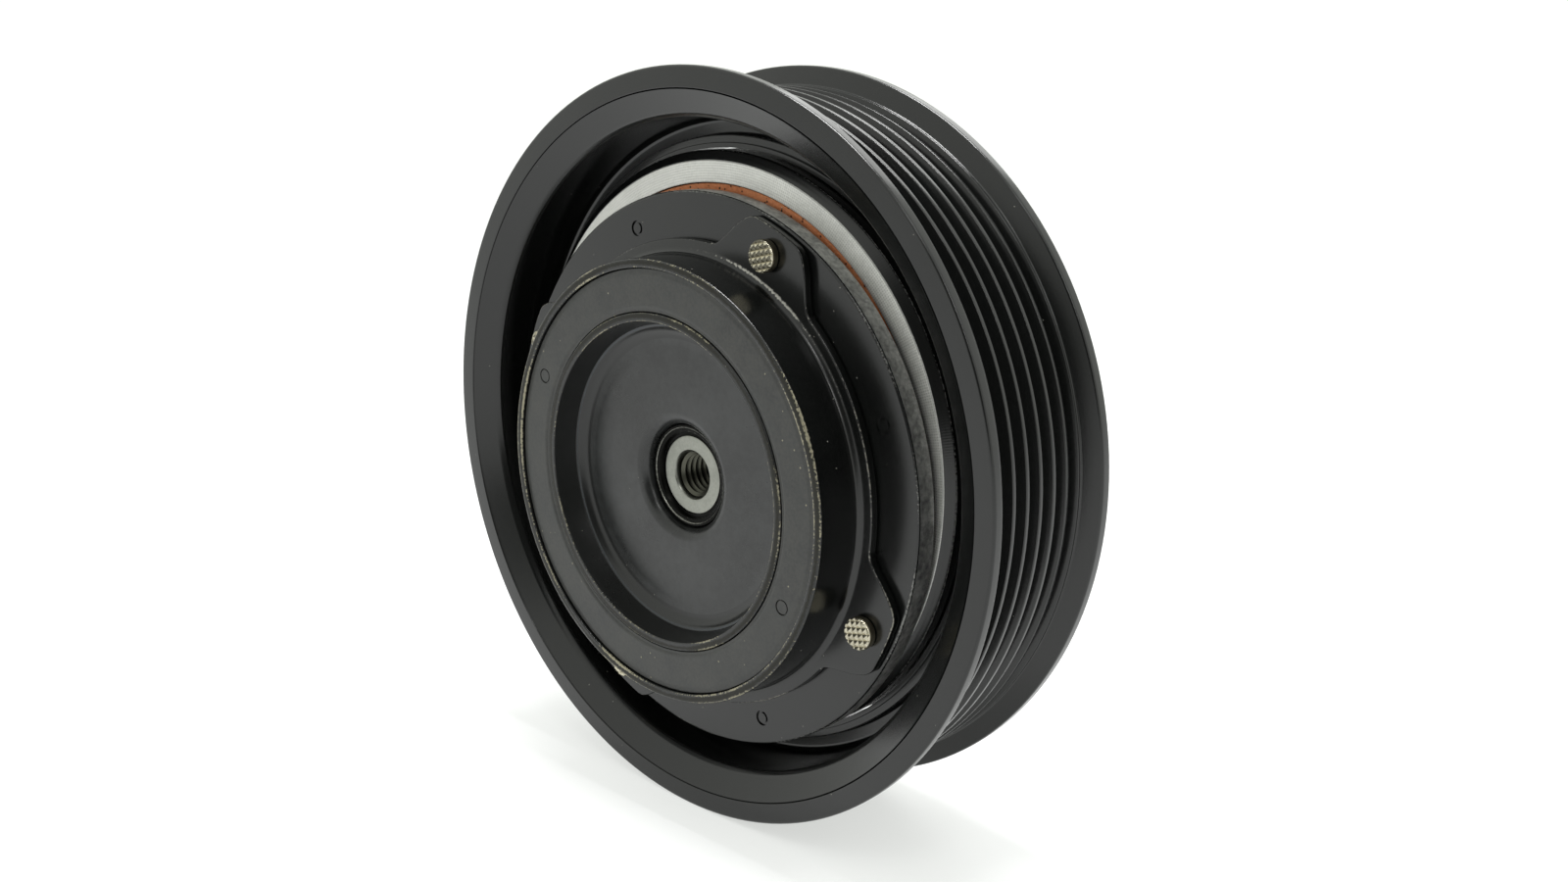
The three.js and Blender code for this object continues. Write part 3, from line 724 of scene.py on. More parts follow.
# %% The rotor's ground steel
def rotor_finish():
    steel = Finish("rotor_steel", (0.66, 0.66, 0.63), 0.44, metallic=0.92)
    radius, station = steel.polar["Radius"], steel.polar["Station"]
    tone = steel.mottle(120.0, 2200.0, 0.6)
    steel.lay(steel.product(tone, 0.6), colour=(0.42, 0.42, 0.4), roughness=0.5)
    woven = stretch(steel.tree, steel.lathe(0.44, 0.6), 0.1, 0.8)
    steel.lay(steel.product(woven, 0.55), colour=(0.27, 0.27, 0.26))
    off_face = steel.below(station, ROTOR_FACE - 0.1)
    outside = steel.above(radius, SLEEVE_RADIUS - 0.2)
    coated = steel.product(off_face, outside)
    steel.raise_by(steel.lathe(0.22, 0.35), 0.0035 * MM)
    steel.lay(coated, colour=COAT, roughness=0.2, metallic=0.0)
    for edge, at in ((ROTOR_RADIUS - 0.2, ROTOR_FACE - 1.3), (FACE_RADIUS, ROTOR_FACE)):
        worn = steel.wear(edge, at, 0.22, 1.2)
        steel.lay(worn, colour=(0.3, 0.3, 0.29), roughness=0.4, metallic=0.8)
    return steel.done()


finish(smooth(rotor), "pulley", rotor_finish(), "rotor")

# %% [markdown]
# ## The friction ring
#
# A ring of brown lining sits in a groove of the friction face, a little below it. It is pressed from
# fibre, brass dust and resin, so it is dull, rust-orange, and full of dark pores and a few pale grains.

# %% Friction ring
LINING_INNER = LINING_OUTER - LINING_WIDTH
lining = turned("friction_lining", [
    (LINING_INNER, LINING_REAR),
    (LINING_OUTER, LINING_REAR),
    (LINING_OUTER, LINING_FRONT, 0.12),
    (LINING_INNER, LINING_FRONT, 0.12),
])


def lining_finish():
    brown = Finish("friction_lining", (0.5, 0.15, 0.05), 0.82)
    tone = brown.mottle(260.0, 2600.0, 0.6)
    brown.lay(tone, colour=(0.7, 0.27, 0.12))
    pores = brown.dust(1500.0, 0.3, 0.3)
    brown.lay(pores, colour=(0.035, 0.014, 0.008), roughness=0.95)
    grains = brown.dust(1300.0, 0.2, 0.08)
    brown.lay(grains, colour=(0.62, 0.4, 0.26))
    brown.raise_by(brown.grain(3000.0, 4, 0.7), 0.05 * MM)
    return brown.done()


finish(smooth(lining), "pulley", lining_finish(), "friction_ring")

# %% [markdown]
# ## The armature
#
# The armature is a flat ring of soft steel with four curved slots. It stands a hair's breadth off the
# rotor until the coil pulls it in. It is coated like the pulley, but its turned side stays bare and gets
# scuffed. Plain round stamps between the ears show that it was inspected. Each is a ring, so a hole is
# sunk into the face and a button then almost fills it again.

# %% Armature
ARMATURE_RADIUS, ARMATURE_REAR, ARMATURE_FRONT = span("armature_plate")
ARMATURE_BORE = 31.8
RIVET_CIRCLE = ARMATURE_RADIUS - 5.2
EARS = 4
EAR_ANGLE = math.radians(65)
EAR_STEP = 2 * math.pi / EARS
PLATE_EDGE = 41.2

armature = turned("armature", [
    (ARMATURE_BORE, ARMATURE_REAR, 0.3),
    (ARMATURE_RADIUS, ARMATURE_REAR, 0.35),
    (ARMATURE_RADIUS, ARMATURE_FRONT, 0.5),
    (ARMATURE_BORE, ARMATURE_FRONT, 0.4),
], HUB_HEIGHT)

# %% The armature's slots and stamps
ARMATURE_SLOT = 39.4
ARMATURE_SWEEP = math.radians(50)
STAMP_CIRCLE = RIVET_CIRCLE + 0.5
STAMP_RADIUS = 1.4


def ring_mark(piece, face, radius, groove, sunk, place, segments):
    """Sinks a ring into a face: its groove's width, and how deep the middle lies."""
    combine(piece, peg(radius, face - 0.3, face + 0.5, *place, segments))
    combine(piece, peg(radius - groove, face - 0.8, face - sunk, *place, segments), "UNION")


for i in range(EARS):
    between = EAR_ANGLE + (i + 0.5) * EAR_STEP
    combine(armature, curved_slot(
        ARMATURE_SLOT, ARMATURE_REAR - 1, ARMATURE_FRONT + 1, between, ARMATURE_SWEEP, HUB_HEIGHT
    ))
    stamp_at = polar(STAMP_CIRCLE, between, HUB_HEIGHT)
    ring_mark(armature, ARMATURE_FRONT, STAMP_RADIUS, 0.45, 0.03, stamp_at, segments=32)
print("slots and stamps in the armature:", EARS)


# %% The armature's coat and bare side
def armature_finish():
    coat = black_coat("armature_coat", HUB_HEIGHT, worn=[
        (ARMATURE_RADIUS, ARMATURE_FRONT, 0.42, 1.6, (0.2, 0.2, 0.19)),
        (ARMATURE_RADIUS, ARMATURE_REAR, 0.5, 0.8, BRIGHT_EDGE),
    ], roughness=0.19, dusty=0.08)
    outside = coat.above(coat.polar["Radius"], ARMATURE_RADIUS - 0.2)
    behind_edge = coat.below(coat.polar["Station"], ARMATURE_FRONT - 0.45)
    bare = coat.product(outside, behind_edge)
    coat.lay(bare, colour=(0.6, 0.6, 0.58), roughness=0.46, metallic=0.75)
    scuffs = coat.product(bare, coat.mottle(420.0, 1300.0, 0.5), 0.8)
    coat.lay(scuffs, colour=(0.1, 0.1, 0.1), roughness=0.4)
    return coat.done()


finish(smooth(armature), "armature", armature_finish(), "armature_plate")

# %% [markdown]
# ## The ear plate and damper shell
#
# One pressing makes the plate with its four ears and the round shell that is drawn up from it. A turned
# section gives both. Then the plate's outer edge is pulled out to each ear: a smooth step in the angle
# from the ear's middle makes the tip, the flanks and the hollow blends in one stroke. The edge is
# rounded last, so that the rounding is even along the ears.

# %% Ear plate and shell
_, PLATE_REAR, SHELL_FRONT = span("damper_shell")
PLATE_FRONT = PLATE_REAR + 1.6
SHELL_RADIUS = 38.6
SHELL_BORE = 37.0
EAR_TIP = ARMATURE_RADIUS - 0.6
EAR_FULL = math.radians(5.6)
EAR_ROOT = math.radians(17.5)
EAR_STEPS = 720


def ear_edge(angle):
    """The plate's outer radius at an angle: out to the tip on an ear, back to the edge between ears."""
    off = abs((angle - EAR_ANGLE + EAR_STEP / 2) % EAR_STEP - EAR_STEP / 2)
    share = min(1, max(0, (EAR_ROOT - off) / (EAR_ROOT - EAR_FULL)))
    eased = share * share * (3 - 2 * share)
    return PLATE_EDGE + (EAR_TIP - PLATE_EDGE) * eased


def drawn_shell():
    bm = bmesh.new()
    rounded_section(bm, [
        (SHELL_BORE, PLATE_REAR, 0.8),
        (PLATE_EDGE, PLATE_REAR),
        (PLATE_EDGE, PLATE_FRONT),
        (SHELL_RADIUS, PLATE_FRONT, 1.3),
        (SHELL_RADIUS, SHELL_FRONT, 0.4),
        (SHELL_BORE, SHELL_FRONT, 0.25),
    ], HUB_HEIGHT)
    spin_section(bm, HUB_HEIGHT, steps=EAR_STEPS)
    centre = Vector((0, 0, HUB_HEIGHT)) * MM
    edge_verts = set()
    for vert in bm.verts:
        flat = Vector((vert.co.x, 0, vert.co.z)) - centre
        if flat.length > (PLATE_EDGE - 0.05) * MM:
            reach = ear_edge(math.atan2(flat.z, flat.x)) * MM / flat.length
            vert.co.x = flat.x * reach
            vert.co.z = flat.z * reach + centre.z
            edge_verts.add(vert)
    rim_edges = [
        edge for edge in bm.edges
        if set(edge.verts) <= edge_verts and abs(edge.verts[0].co.y - edge.verts[1].co.y) < 1e-7
    ]
    bmesh.ops.bevel(
        bm, geom=rim_edges, offset=0.28 * MM, segments=3, profile=0.5, affect="EDGES", material=-1
    )
    return made("ear_plate_and_shell", bm)


shell = drawn_shell()
print("the ears reach from", PLATE_EDGE, "to", round(EAR_TIP, 1), "mm")

# %% [markdown]
# ## The shell's worn coat, and a painted highlight at its foot
#
# The shell's coat is worn to brass-coloured steel round its rim. Its foot carries a painted highlight at
# the
# upper right only: a broken bright band like bare steel, part wear, part painted highlight where the
# lights catch the fillet. The ears' outline is worn as well. The same smooth step that shaped the ears
# gives the radius of the outline at every angle, now with nodes: a ping-pong of the angle counts from the
# middle of each ear to the middle between two ears.

# %% The shell's worn coat
# The middle of the painted highlight at the shell's foot, as an angle counted from +X towards +Z.
HIGHLIGHT_MIDDLE = math.radians(52)


def shell_finish():
    coat = black_coat("shell_coat", HUB_HEIGHT, worn=[
        (SHELL_RADIUS - 0.7, SHELL_FRONT, 1.0, 1.2, DULL_RIM),
        (SHELL_RADIUS, SHELL_FRONT + 0.06, 0.36, 3.6, BRASSY_EDGE),
        (SHELL_BORE + 0.1, SHELL_FRONT + 0.12, 0.3, 3.6, BRASSY_EDGE),
    ], roughness=0.2, dusty=0.06)
    angle = coat.polar["Angle"]
    # Painted highlight: bare-steel brightness at the shell's foot, faded in and out round the upper right,
    # where the lights catch the fillet.
    round_from_highlight = maths(coat.tree, "SUBTRACT", angle, HIGHLIGHT_MIDDLE)
    begins = stretch(coat.tree, round_from_highlight, -0.5, 0.0)
    ends = stretch(coat.tree, round_from_highlight, 0.35, 0.7, 1.0, 0.0)
    foot_highlight = coat.wear(SHELL_RADIUS + 0.95, PLATE_FRONT + 0.2, 0.28, 3.4)
    coat.lay(coat.product(foot_highlight, begins, ends), colour=BRIGHT_EDGE, roughness=0.35, metallic=0.8)
    round_from_ear = maths(coat.tree, "SUBTRACT", angle, EAR_ANGLE)
    off_middle = maths(coat.tree, "PINGPONG", round_from_ear, EAR_STEP / 2)
    outline = stretch(coat.tree, off_middle, EAR_FULL, EAR_ROOT, EAR_TIP, PLATE_EDGE)
    edge = coat.wear(outline, PLATE_FRONT, 0.24, 1.9)
    coat.lay(edge, colour=(0.24, 0.23, 0.2), roughness=0.4, metallic=0.75)
    return coat.done()


finish(smooth(shell), "armature", shell_finish(), "damper_shell")

# %% [markdown]
# ## The ear rivets
#
# Four rivets hold the plate to the armature. A knurled punch closed them, which leaves a waffle of small
# pyramids on each head. A grid whose cells are poked makes the waffle, a Boolean cuts it to the round
# head, and one head is made and then copied to the four ears.

# %% Rivets
RIVET_HEAD = 2.8
RIVET_SHANK = 2.1
RIVET_FRONT = span("ear_rivet_1")[2]
WAFFLE_CELLS = 6
WAFFLE_HALF = 1.12 * RIVET_HEAD
WAFFLE_DEPTH = 0.42
WAFFLE_TURN = math.radians(12)
BLOCK_DEPTH = 12


def waffle_block():
    bm = bmesh.new()
    bmesh.ops.create_grid(
        bm, x_segments=WAFFLE_CELLS, y_segments=WAFFLE_CELLS, size=WAFFLE_HALF * MM
    )
    rim_edges = [edge for edge in bm.edges if edge.is_boundary]
    cells = bm.faces[:]
    skirt = bmesh.ops.extrude_edge_only(bm, edges=rim_edges)["geom"]
    low = [item for item in skirt if isinstance(item, bmesh.types.BMVert)]
    bmesh.ops.translate(bm, vec=Vector((0, 0, -BLOCK_DEPTH)) * MM, verts=low)
    bmesh.ops.holes_fill(bm, edges=[edge for edge in bm.edges if edge.is_boundary])
    bmesh.ops.poke(bm, faces=cells, offset=WAFFLE_DEPTH * MM)
    bmesh.ops.recalc_face_normals(bm, faces=bm.faces)
    place = Matrix.Translation(Vector((0, -(RIVET_FRONT - WAFFLE_DEPTH), 0)) * MM)
    tilt = Matrix.Rotation(math.radians(90), 4, "X") @ Matrix.Rotation(WAFFLE_TURN, 4, "Z")
    bmesh.ops.transform(bm, matrix=place @ tilt, verts=bm.verts)
    return made("waffle", bm)


rivet = turned("rivet", [
    (0, ARMATURE_REAR + 0.2),
    (RIVET_SHANK, ARMATURE_REAR + 0.2),
    (RIVET_SHANK, PLATE_FRONT + 0.1),
    (RIVET_HEAD - 0.15, PLATE_FRONT + 0.1, 0.2),
    (RIVET_HEAD, RIVET_FRONT - 0.55, 0.3),
    (RIVET_HEAD - 0.45, RIVET_FRONT),
    (0, RIVET_FRONT),
], steps=48)
combine(rivet, waffle_block(), "INTERSECT")
print("cells in the waffle:", WAFFLE_CELLS ** 2)


# %% The rivets' steel, and a rivet in each ear
def rivet_finish():
    steel = Finish("rivet_steel", (0.44, 0.41, 0.32), 0.3, metallic=1.0)
    tone = steel.mottle(400.0, 2600.0, 0.5)
    steel.lay(tone, colour=(0.62, 0.58, 0.46), roughness=0.24)
    sides = steel.below(steel.polar["Station"], RIVET_FRONT - 0.5)
    steel.lay(steel.product(sides, 0.7), colour=(0.16, 0.13, 0.075), roughness=0.42)
    return steel.done()


rivet_steel = rivet_finish()
for i in range(EARS):
    x, z = polar(RIVET_CIRCLE, EAR_ANGLE + i * EAR_STEP, HUB_HEIGHT)
    one = bpy.data.objects.new(f"knurled_rivet_{i + 1}", rivet.data.copy())
    one.data.transform(Matrix.Translation(Vector((x, 0, z)) * MM))
    scene.collection.objects.link(one)
    finish(smooth(one), "armature", rivet_steel, f"ear_rivet_{i + 1}")
bpy.data.objects.remove(rivet)

# %% [markdown]
# ## The damper rubber
#
# A ring of rubber is moulded between the shell and the hub's cup, and softens the jolt when the clutch
# closes. It is slate grey, matt and smudged. Its face lies almost level with the two metal rims, and the
# mould's ejector pins left two ring marks in it.

# %% Damper rubber
_, RUBBER_REAR, RUBBER_FRONT = span("damper_rubber")
CUP_RADIUS, CUP_REAR, CUP_FRONT = span("hub_cup")
RUBBER_INNER = CUP_RADIUS + 0.12
EJECTOR_CIRCLE = 33.3
EJECTOR_RADIUS = 1.35
EJECTOR_ANGLES = (math.radians(-26.4), math.radians(153.6))

rubber = turned("rubber_ring", [
    (RUBBER_INNER, RUBBER_REAR, 0.8),
    (SHELL_BORE - 0.12, RUBBER_REAR, 0.8),
    (SHELL_BORE - 0.12, RUBBER_FRONT - 0.1, 0.1),
    (SHELL_BORE - 0.7, RUBBER_FRONT - 0.1, 0.25),
    (SHELL_BORE - 1.1, RUBBER_FRONT, 0.3),
    (RUBBER_INNER + 0.8, RUBBER_FRONT, 0.35),
    (RUBBER_INNER + 0.45, RUBBER_FRONT - 0.25, 0.15),
    (RUBBER_INNER, RUBBER_FRONT - 0.25, 0.15),
], HUB_HEIGHT)
for angle in EJECTOR_ANGLES:
    mark_at = polar(EJECTOR_CIRCLE, angle, HUB_HEIGHT)
    ring_mark(rubber, RUBBER_FRONT, EJECTOR_RADIUS, 0.25, 0.04, mark_at, segments=40)


def rubber_finish():
    grey = Finish("damper_rubber", (0.0075, 0.0085, 0.0085), 0.42, axis_height=HUB_HEIGHT)
    tone = grey.mottle(75.0, 420.0, 0.45)
    grey.lay(tone, colour=(0.027, 0.029, 0.028), roughness=0.56)
    bloom = grey.mottle(170.0, 1900.0, 0.55)
    grey.lay(grey.product(bloom, 0.45), colour=(0.052, 0.05, 0.042))
    specks = grey.dust(800.0, 0.12, 0.1)
    grey.lay(specks, colour=(0.24, 0.22, 0.16), roughness=0.8)
    grey.raise_by(grey.grain(1500.0, 4, 0.65), 0.03 * MM)
    return grey.done()


finish(smooth(rubber), "hub", rubber_finish(), "damper_rubber")

# %% [markdown]
# ## The hub's cup
#
# The rubber's inner side grips a pressed steel cup. Its wall leans in to a small ledge, which rolls over
# into the floor. The floor is greyer where hands rubbed it, and its hole has a generous rounding round
# the hub's sunken boss.

# %% Hub cup
CUP_MOUTH = CUP_RADIUS - 1.5
CUP_FLOOR = CUP_FRONT - 5.8
CUP_CREASE = CUP_MOUTH - 1.5
CUP_HOLE = 9.3

cup = turned("cup", [
    (CUP_HOLE, CUP_REAR, 0.2),
    (CUP_RADIUS, CUP_REAR, 1.0),
    (CUP_RADIUS, CUP_FRONT, 0.35),
    (CUP_MOUTH, CUP_FRONT, 0.2),
    (CUP_CREASE + 0.55, CUP_FLOOR + 1.35, 0.1),
    (CUP_CREASE + 0.1, CUP_FLOOR + 1.25, 0.18),
    (CUP_CREASE - 0.35, CUP_FLOOR + 0.7, 0.3),
    (CUP_CREASE - 1.05, CUP_FLOOR + 0.25, 0.4),
    (CUP_CREASE - 2.6, CUP_FLOOR, 1.0),
    (CUP_HOLE + 1.75, CUP_FLOOR, 0.5),
    (CUP_HOLE + 0.75, CUP_FLOOR - 0.45, 0.5),
    (CUP_HOLE + 0.15, CUP_FLOOR - 1.25, 0.4),
    (CUP_HOLE, CUP_FLOOR - 2.2, 0.2),
], HUB_HEIGHT)


def cup_finish():
    coat = black_coat("cup_coat", HUB_HEIGHT, worn=[
        (CUP_RADIUS - 0.6, CUP_FRONT, 0.9, 1.2, DULL_RIM),
        (CUP_RADIUS, CUP_FRONT + 0.08, 0.32, 3.6, BRASSY_EDGE),
        (CUP_MOUTH, CUP_FRONT + 0.08, 0.26, 3.0, BRASSY_EDGE),
        # The crease: a broken bluish-grey line, partly wear, partly a painted highlight of the light
        # caught by its small rounding.
        (CUP_CREASE + 0.3, CUP_FLOOR + 1.3, 0.34, 0.9, (0.06, 0.065, 0.07)),
    ], roughness=0.27, dusty=0.03)
    on_floor = coat.below(coat.polar["Station"], CUP_FLOOR + 0.1)
    handled = coat.mottle(55.0, 900.0, 0.3)
    coat.lay(coat.product(on_floor, handled), colour=(0.025, 0.0265, 0.0265))
    return coat.done()


finish(smooth(cup), "hub", cup_finish(), "hub_cup")

# %% [markdown]
# ## The hub and its thread
#
# The hub is turned from bright steel. From the front one sees its staked rim in two fine steps, a ground
# face, and an M8 thread that the puller and the shaft's bolt use. The thread is a ridge with a
# three-cornered section, swept along a helix: the spin operator climbs by its dvec at every step.

# %% Hub
HUB_FACE_RADIUS = 6.8
STAKE_RADIUS = 8.55
STAKE_BORE = 7.85
STAKE_STEP = 0.28
_, HUB_REAR, HUB_FRONT = span("hub_boss")
HUB_FACE = CUP_FLOOR - 2.7
HUB_RADIUS = 12.5
HUB_FLANGE = 17
HUB_FLANGE_REAR = CUP_REAR - 3.4
HUB_FLANGE_FRONT = CUP_REAR - 0.2
HUB_FIT = CUP_HOLE - 0.15
HUB_SHOULDER = HUB_FACE - 12
THREAD_ROOT = 4.0

hub = turned("hub", [
    (THREAD_ROOT, HUB_REAR),
    (HUB_RADIUS, HUB_REAR, 0.6),
    (HUB_RADIUS, HUB_FLANGE_REAR, 0.4),
    (HUB_FLANGE, HUB_FLANGE_REAR, 0.3),
    (HUB_FLANGE, HUB_FLANGE_FRONT, 0.3),
    (HUB_FIT, HUB_FLANGE_FRONT),
    (HUB_FIT, HUB_FRONT, 0.18),
    (STAKE_RADIUS, HUB_FRONT, 0.1),
    (STAKE_RADIUS - 0.15, HUB_FRONT - STAKE_STEP, 0.06),
    (STAKE_BORE, HUB_FRONT - STAKE_STEP, 0.1),
    (STAKE_BORE - 0.35, HUB_FACE - 0.15),
    (HUB_FACE_RADIUS + 0.3, HUB_FACE - 0.15),
    (HUB_FACE_RADIUS, HUB_FACE, 0.08),
    (THREAD_ROOT + 0.5, HUB_FACE, 0.08),
    (THREAD_ROOT, HUB_FACE - 0.75),
], HUB_HEIGHT)
print("the hub's face lies", round(HUB_FRONT - HUB_FACE, 2), "mm below its rim")

# %% Spline
SPLINE_TEETH = 16
SPLINE_ROOT = 6.2
SPLINE_TIP = 5.4


def spline_cutter():
    """A toothed bar: a circle of four corners to the tooth, pushed in and out in pairs."""
    bm = bmesh.new()
    ring = bmesh.ops.create_circle(bm, cap_ends=True, segments=4 * SPLINE_TEETH, radius=1)["verts"]
    for i, vert in enumerate(ring):
        vert.co *= (SPLINE_ROOT if i % 4 < 2 else SPLINE_TIP) * MM
    outline = bmesh.ops.extrude_face_region(bm, geom=bm.faces[:])["geom"]
    top = [item for item in outline if isinstance(item, bmesh.types.BMVert)]
    bmesh.ops.translate(bm, vec=Vector((0, 0, HUB_SHOULDER - HUB_REAR + 1)) * MM, verts=top)
    place = Matrix.Translation(Vector((0, -(HUB_REAR - 1), HUB_HEIGHT)) * MM)
    bmesh.ops.transform(bm, matrix=place @ Matrix.Rotation(math.radians(90), 4, "X"), verts=bm.verts)
    bmesh.ops.recalc_face_normals(bm, faces=bm.faces)
    return made("spline_cutter", bm)


combine(hub, spline_cutter())
print("spline:", SPLINE_TEETH, "teeth")

# %% Thread
THREAD_CREST = 3.4
THREAD_PITCH = 1.25
THREAD_STEPS = 48
THREAD_SUNK = 0.06
CREST_HALF = 0.08
RUN_OUT = 1.3


def thread_ridge():
    turns = (HUB_FACE - HUB_SHOULDER) / THREAD_PITCH - RUN_OUT
    start = HUB_FACE - 1.0
    half = 0.42 * THREAD_PITCH
    bm = bmesh.new()
    corners = [
        (THREAD_ROOT + THREAD_SUNK, start + half),
        (THREAD_ROOT + THREAD_SUNK, start - half),
        (THREAD_CREST, start - CREST_HALF),
        (THREAD_CREST, start + CREST_HALF),
    ]
    section = [bm.verts.new(Vector((radius, -station, HUB_HEIGHT)) * MM) for radius, station in corners]
    bm.faces.new(section)
    bmesh.ops.spin(
        bm,
        geom=bm.verts[:] + bm.edges[:] + bm.faces[:],
        cent=Vector((0, 0, HUB_HEIGHT)) * MM,
        axis=(0, 1, 0),
        dvec=Vector((0, THREAD_PITCH / THREAD_STEPS, 0)) * MM,
        angle=turns * 2 * math.pi,
        steps=round(turns * THREAD_STEPS),
    )
    bmesh.ops.remove_doubles(bm, verts=bm.verts, dist=1e-7)
    bmesh.ops.holes_fill(bm, edges=[edge for edge in bm.edges if edge.is_boundary])
    bmesh.ops.recalc_face_normals(bm, faces=bm.faces)
    return made("bolt_thread", bm)


# %% The hub's steel
def hub_finish():
    steel = Finish("hub_steel", (0.27, 0.275, 0.245), 0.3, metallic=1.0, axis_height=HUB_HEIGHT)
    tone = steel.mottle(260.0, 2400.0, 0.5)
    steel.lay(steel.product(tone, 0.6), colour=(0.17, 0.175, 0.155), roughness=0.38)
    steel.raise_by(steel.lathe(0.16), 0.0015 * MM)
    # Painted shade: the thread and the bore below its root are laid darker, as the shade deep in the hole.
    shaded_bore = steel.below(steel.polar["Radius"], THREAD_ROOT + 0.02)
    steel.lay(shaded_bore, colour=(0.075, 0.075, 0.06))
    # Painted shade: the staked rim round the face is laid nearly black, as the dark recess round the
    # sunken boss.
    shaded_stake = steel.above(steel.polar["Radius"], HUB_FACE_RADIUS + 0.12)
    steel.lay(shaded_stake, colour=(0.006, 0.006, 0.0055), roughness=0.26)
    for ring in (STAKE_BORE, STAKE_RADIUS - 0.05):
        rubbed = steel.wear(ring, HUB_FRONT - 0.1, 0.3)
        steel.lay(rubbed, colour=(0.2, 0.2, 0.18), roughness=0.3, metallic=0.9)
    return steel.done()


hub_steel = hub_finish()
finish(smooth(hub), "hub", hub_steel, "hub_boss")
thread = smooth(thread_ridge())
thread.data.materials.append(hub_steel)
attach(thread, "hub")
print("thread:", len(thread.data.polygons), "faces, rides on hub")

# %% [markdown]
# ## The bearing
#
# A sealed double-width ball bearing carries the pulley. From behind one sees its two ground rings and
# the black lip seal between them. The cage and balls are inside, and are made as simply as they look.

# %% Bearing
BEARING_BORE = 17.5
INNER_LAND = 20.6
OUTER_LAND = 24.4
BALLS = 12
BALL_CIRCLE = 22.5
BEARING_MIDDLE = (BEARING_REAR + BEARING_FRONT) / 2
BALL_RADIUS = 3.175
BALL_CLEARANCE = 0.1
TRACK_MOUTH_HALF = 2.6
TRACK_FLOOR_HALF = 1.2


def ring_section(back, land):
    """A bearing ring: rounded at its back, with a ball track hollowed in its land."""
    inwards = 1 if back > land else -1
    track = BALL_CIRCLE + inwards * (BALL_RADIUS + BALL_CLEARANCE)
    return [
        (back, BEARING_REAR, 0.6),
        (back, BEARING_FRONT, 0.6),
        (land, BEARING_FRONT, 0.2),
        (land, BEARING_MIDDLE + TRACK_MOUTH_HALF, 0.1),
        (track, BEARING_MIDDLE + TRACK_FLOOR_HALF, 0.8),
        (track, BEARING_MIDDLE - TRACK_FLOOR_HALF, 0.8),
        (land, BEARING_MIDDLE - TRACK_MOUTH_HALF, 0.1),
        (land, BEARING_REAR, 0.2),
    ]


def bright_steel(name, colour, roughness, pitch):
    """Bare metal with darker patches and fine turning marks."""
    steel = Finish(name, colour, roughness, metallic=1.0)
    tone = steel.mottle(90.0, 1800.0, 0.5)
    darker = tuple(0.72 * channel for channel in colour)
    steel.lay(steel.product(tone, 0.6), colour=darker, roughness=roughness + 0.1)
    steel.raise_by(steel.lathe(pitch), 0.001 * MM)
    return steel.done()


bearing_steel = bright_steel("bearing_steel", (0.55, 0.555, 0.56), 0.18, 0.2)
outer_ring = turned("outer_race", ring_section(BEARING_RADIUS, OUTER_LAND))
inner_ring = turned("inner_race", ring_section(BEARING_BORE, INNER_LAND))
finish(smooth(outer_ring), "pulley", bearing_steel, "bearing_outer_ring")
finish(smooth(inner_ring), "stator", bearing_steel, "bearing_inner_ring")


# %% Lip seals
def black_rubber():
    dark = Finish("seal_rubber", (0.018, 0.016, 0.015), 0.55)
    tone = dark.mottle(120.0, 1500.0, 0.4)
    dark.lay(tone, colour=(0.032, 0.029, 0.027), roughness=0.68)
    dark.raise_by(dark.grain(2400.0, 3), 0.01 * MM)
    return dark.done()


seal_rubber = black_rubber()
for side, node in ((1, "bearing_seal_front"), (-1, "bearing_seal_rear")):
    _, seal_rear, seal_front = span(node)
    face, back = (seal_front, seal_rear) if side > 0 else (seal_rear, seal_front)
    seal = turned(f"lip_{node}", [
        (INNER_LAND + 0.12, back, 0.1),
        (OUTER_LAND - 0.1, back, 0.1),
        (OUTER_LAND - 0.1, face, 0.2),
        (OUTER_LAND - 0.9, face, 0.15),
        (OUTER_LAND - 1.1, face - side * 0.3, 0.1),
        (INNER_LAND + 1.3, face - side * 0.3, 0.1),
        (INNER_LAND + 1.1, face, 0.15),
        (INNER_LAND + 0.12, face - side * 0.1, 0.15),
    ])
    finish(smooth(seal), "pulley", seal_rubber, node)

# %% Cage and balls
CAGE_HALF = 4.2
CAGE_INNER = BALL_CIRCLE - 0.8
CAGE_OUTER = BALL_CIRCLE + 0.8
POCKET_CLEARANCE = 0.15


def nylon_finish():
    nylon = Finish("cage_nylon", (0.5, 0.42, 0.27), 0.45, subsurface_weight=0.1)
    tone = nylon.mottle(150.0, 1200.0, 0.4)
    nylon.lay(tone, colour=(0.6, 0.53, 0.38), roughness=0.55)
    return nylon.done()


cage_nylon = nylon_finish()
cage = turned("ball_cage", [
    (CAGE_INNER, BEARING_MIDDLE - CAGE_HALF, 0.2),
    (CAGE_OUTER, BEARING_MIDDLE - CAGE_HALF, 0.2),
    (CAGE_OUTER, BEARING_MIDDLE + CAGE_HALF, 0.2),
    (CAGE_INNER, BEARING_MIDDLE + CAGE_HALF, 0.2),
])


def sphere(name, centre, radius, around, up):
    bm = bmesh.new()
    bmesh.ops.create_uvsphere(
        bm, u_segments=around, v_segments=up, radius=radius * MM, matrix=Matrix.Translation(centre)
    )
    return made(name, bm)


for i in range(BALLS):
    x, z = polar(BALL_CIRCLE, i * 2 * math.pi / BALLS)
    centre = Vector((x, -BEARING_MIDDLE, z)) * MM
    combine(cage, sphere("pocket", centre, BALL_RADIUS + POCKET_CLEARANCE, 24, 12))
    ball = sphere(f"ball_{i + 1:02d}", centre, BALL_RADIUS, 32, 20)
    finish(smooth(ball), "ball_set", bearing_steel, f"bearing_ball_{i + 1:02d}")
finish(smooth(cage), "ball_set", cage_nylon, "bearing_cage")

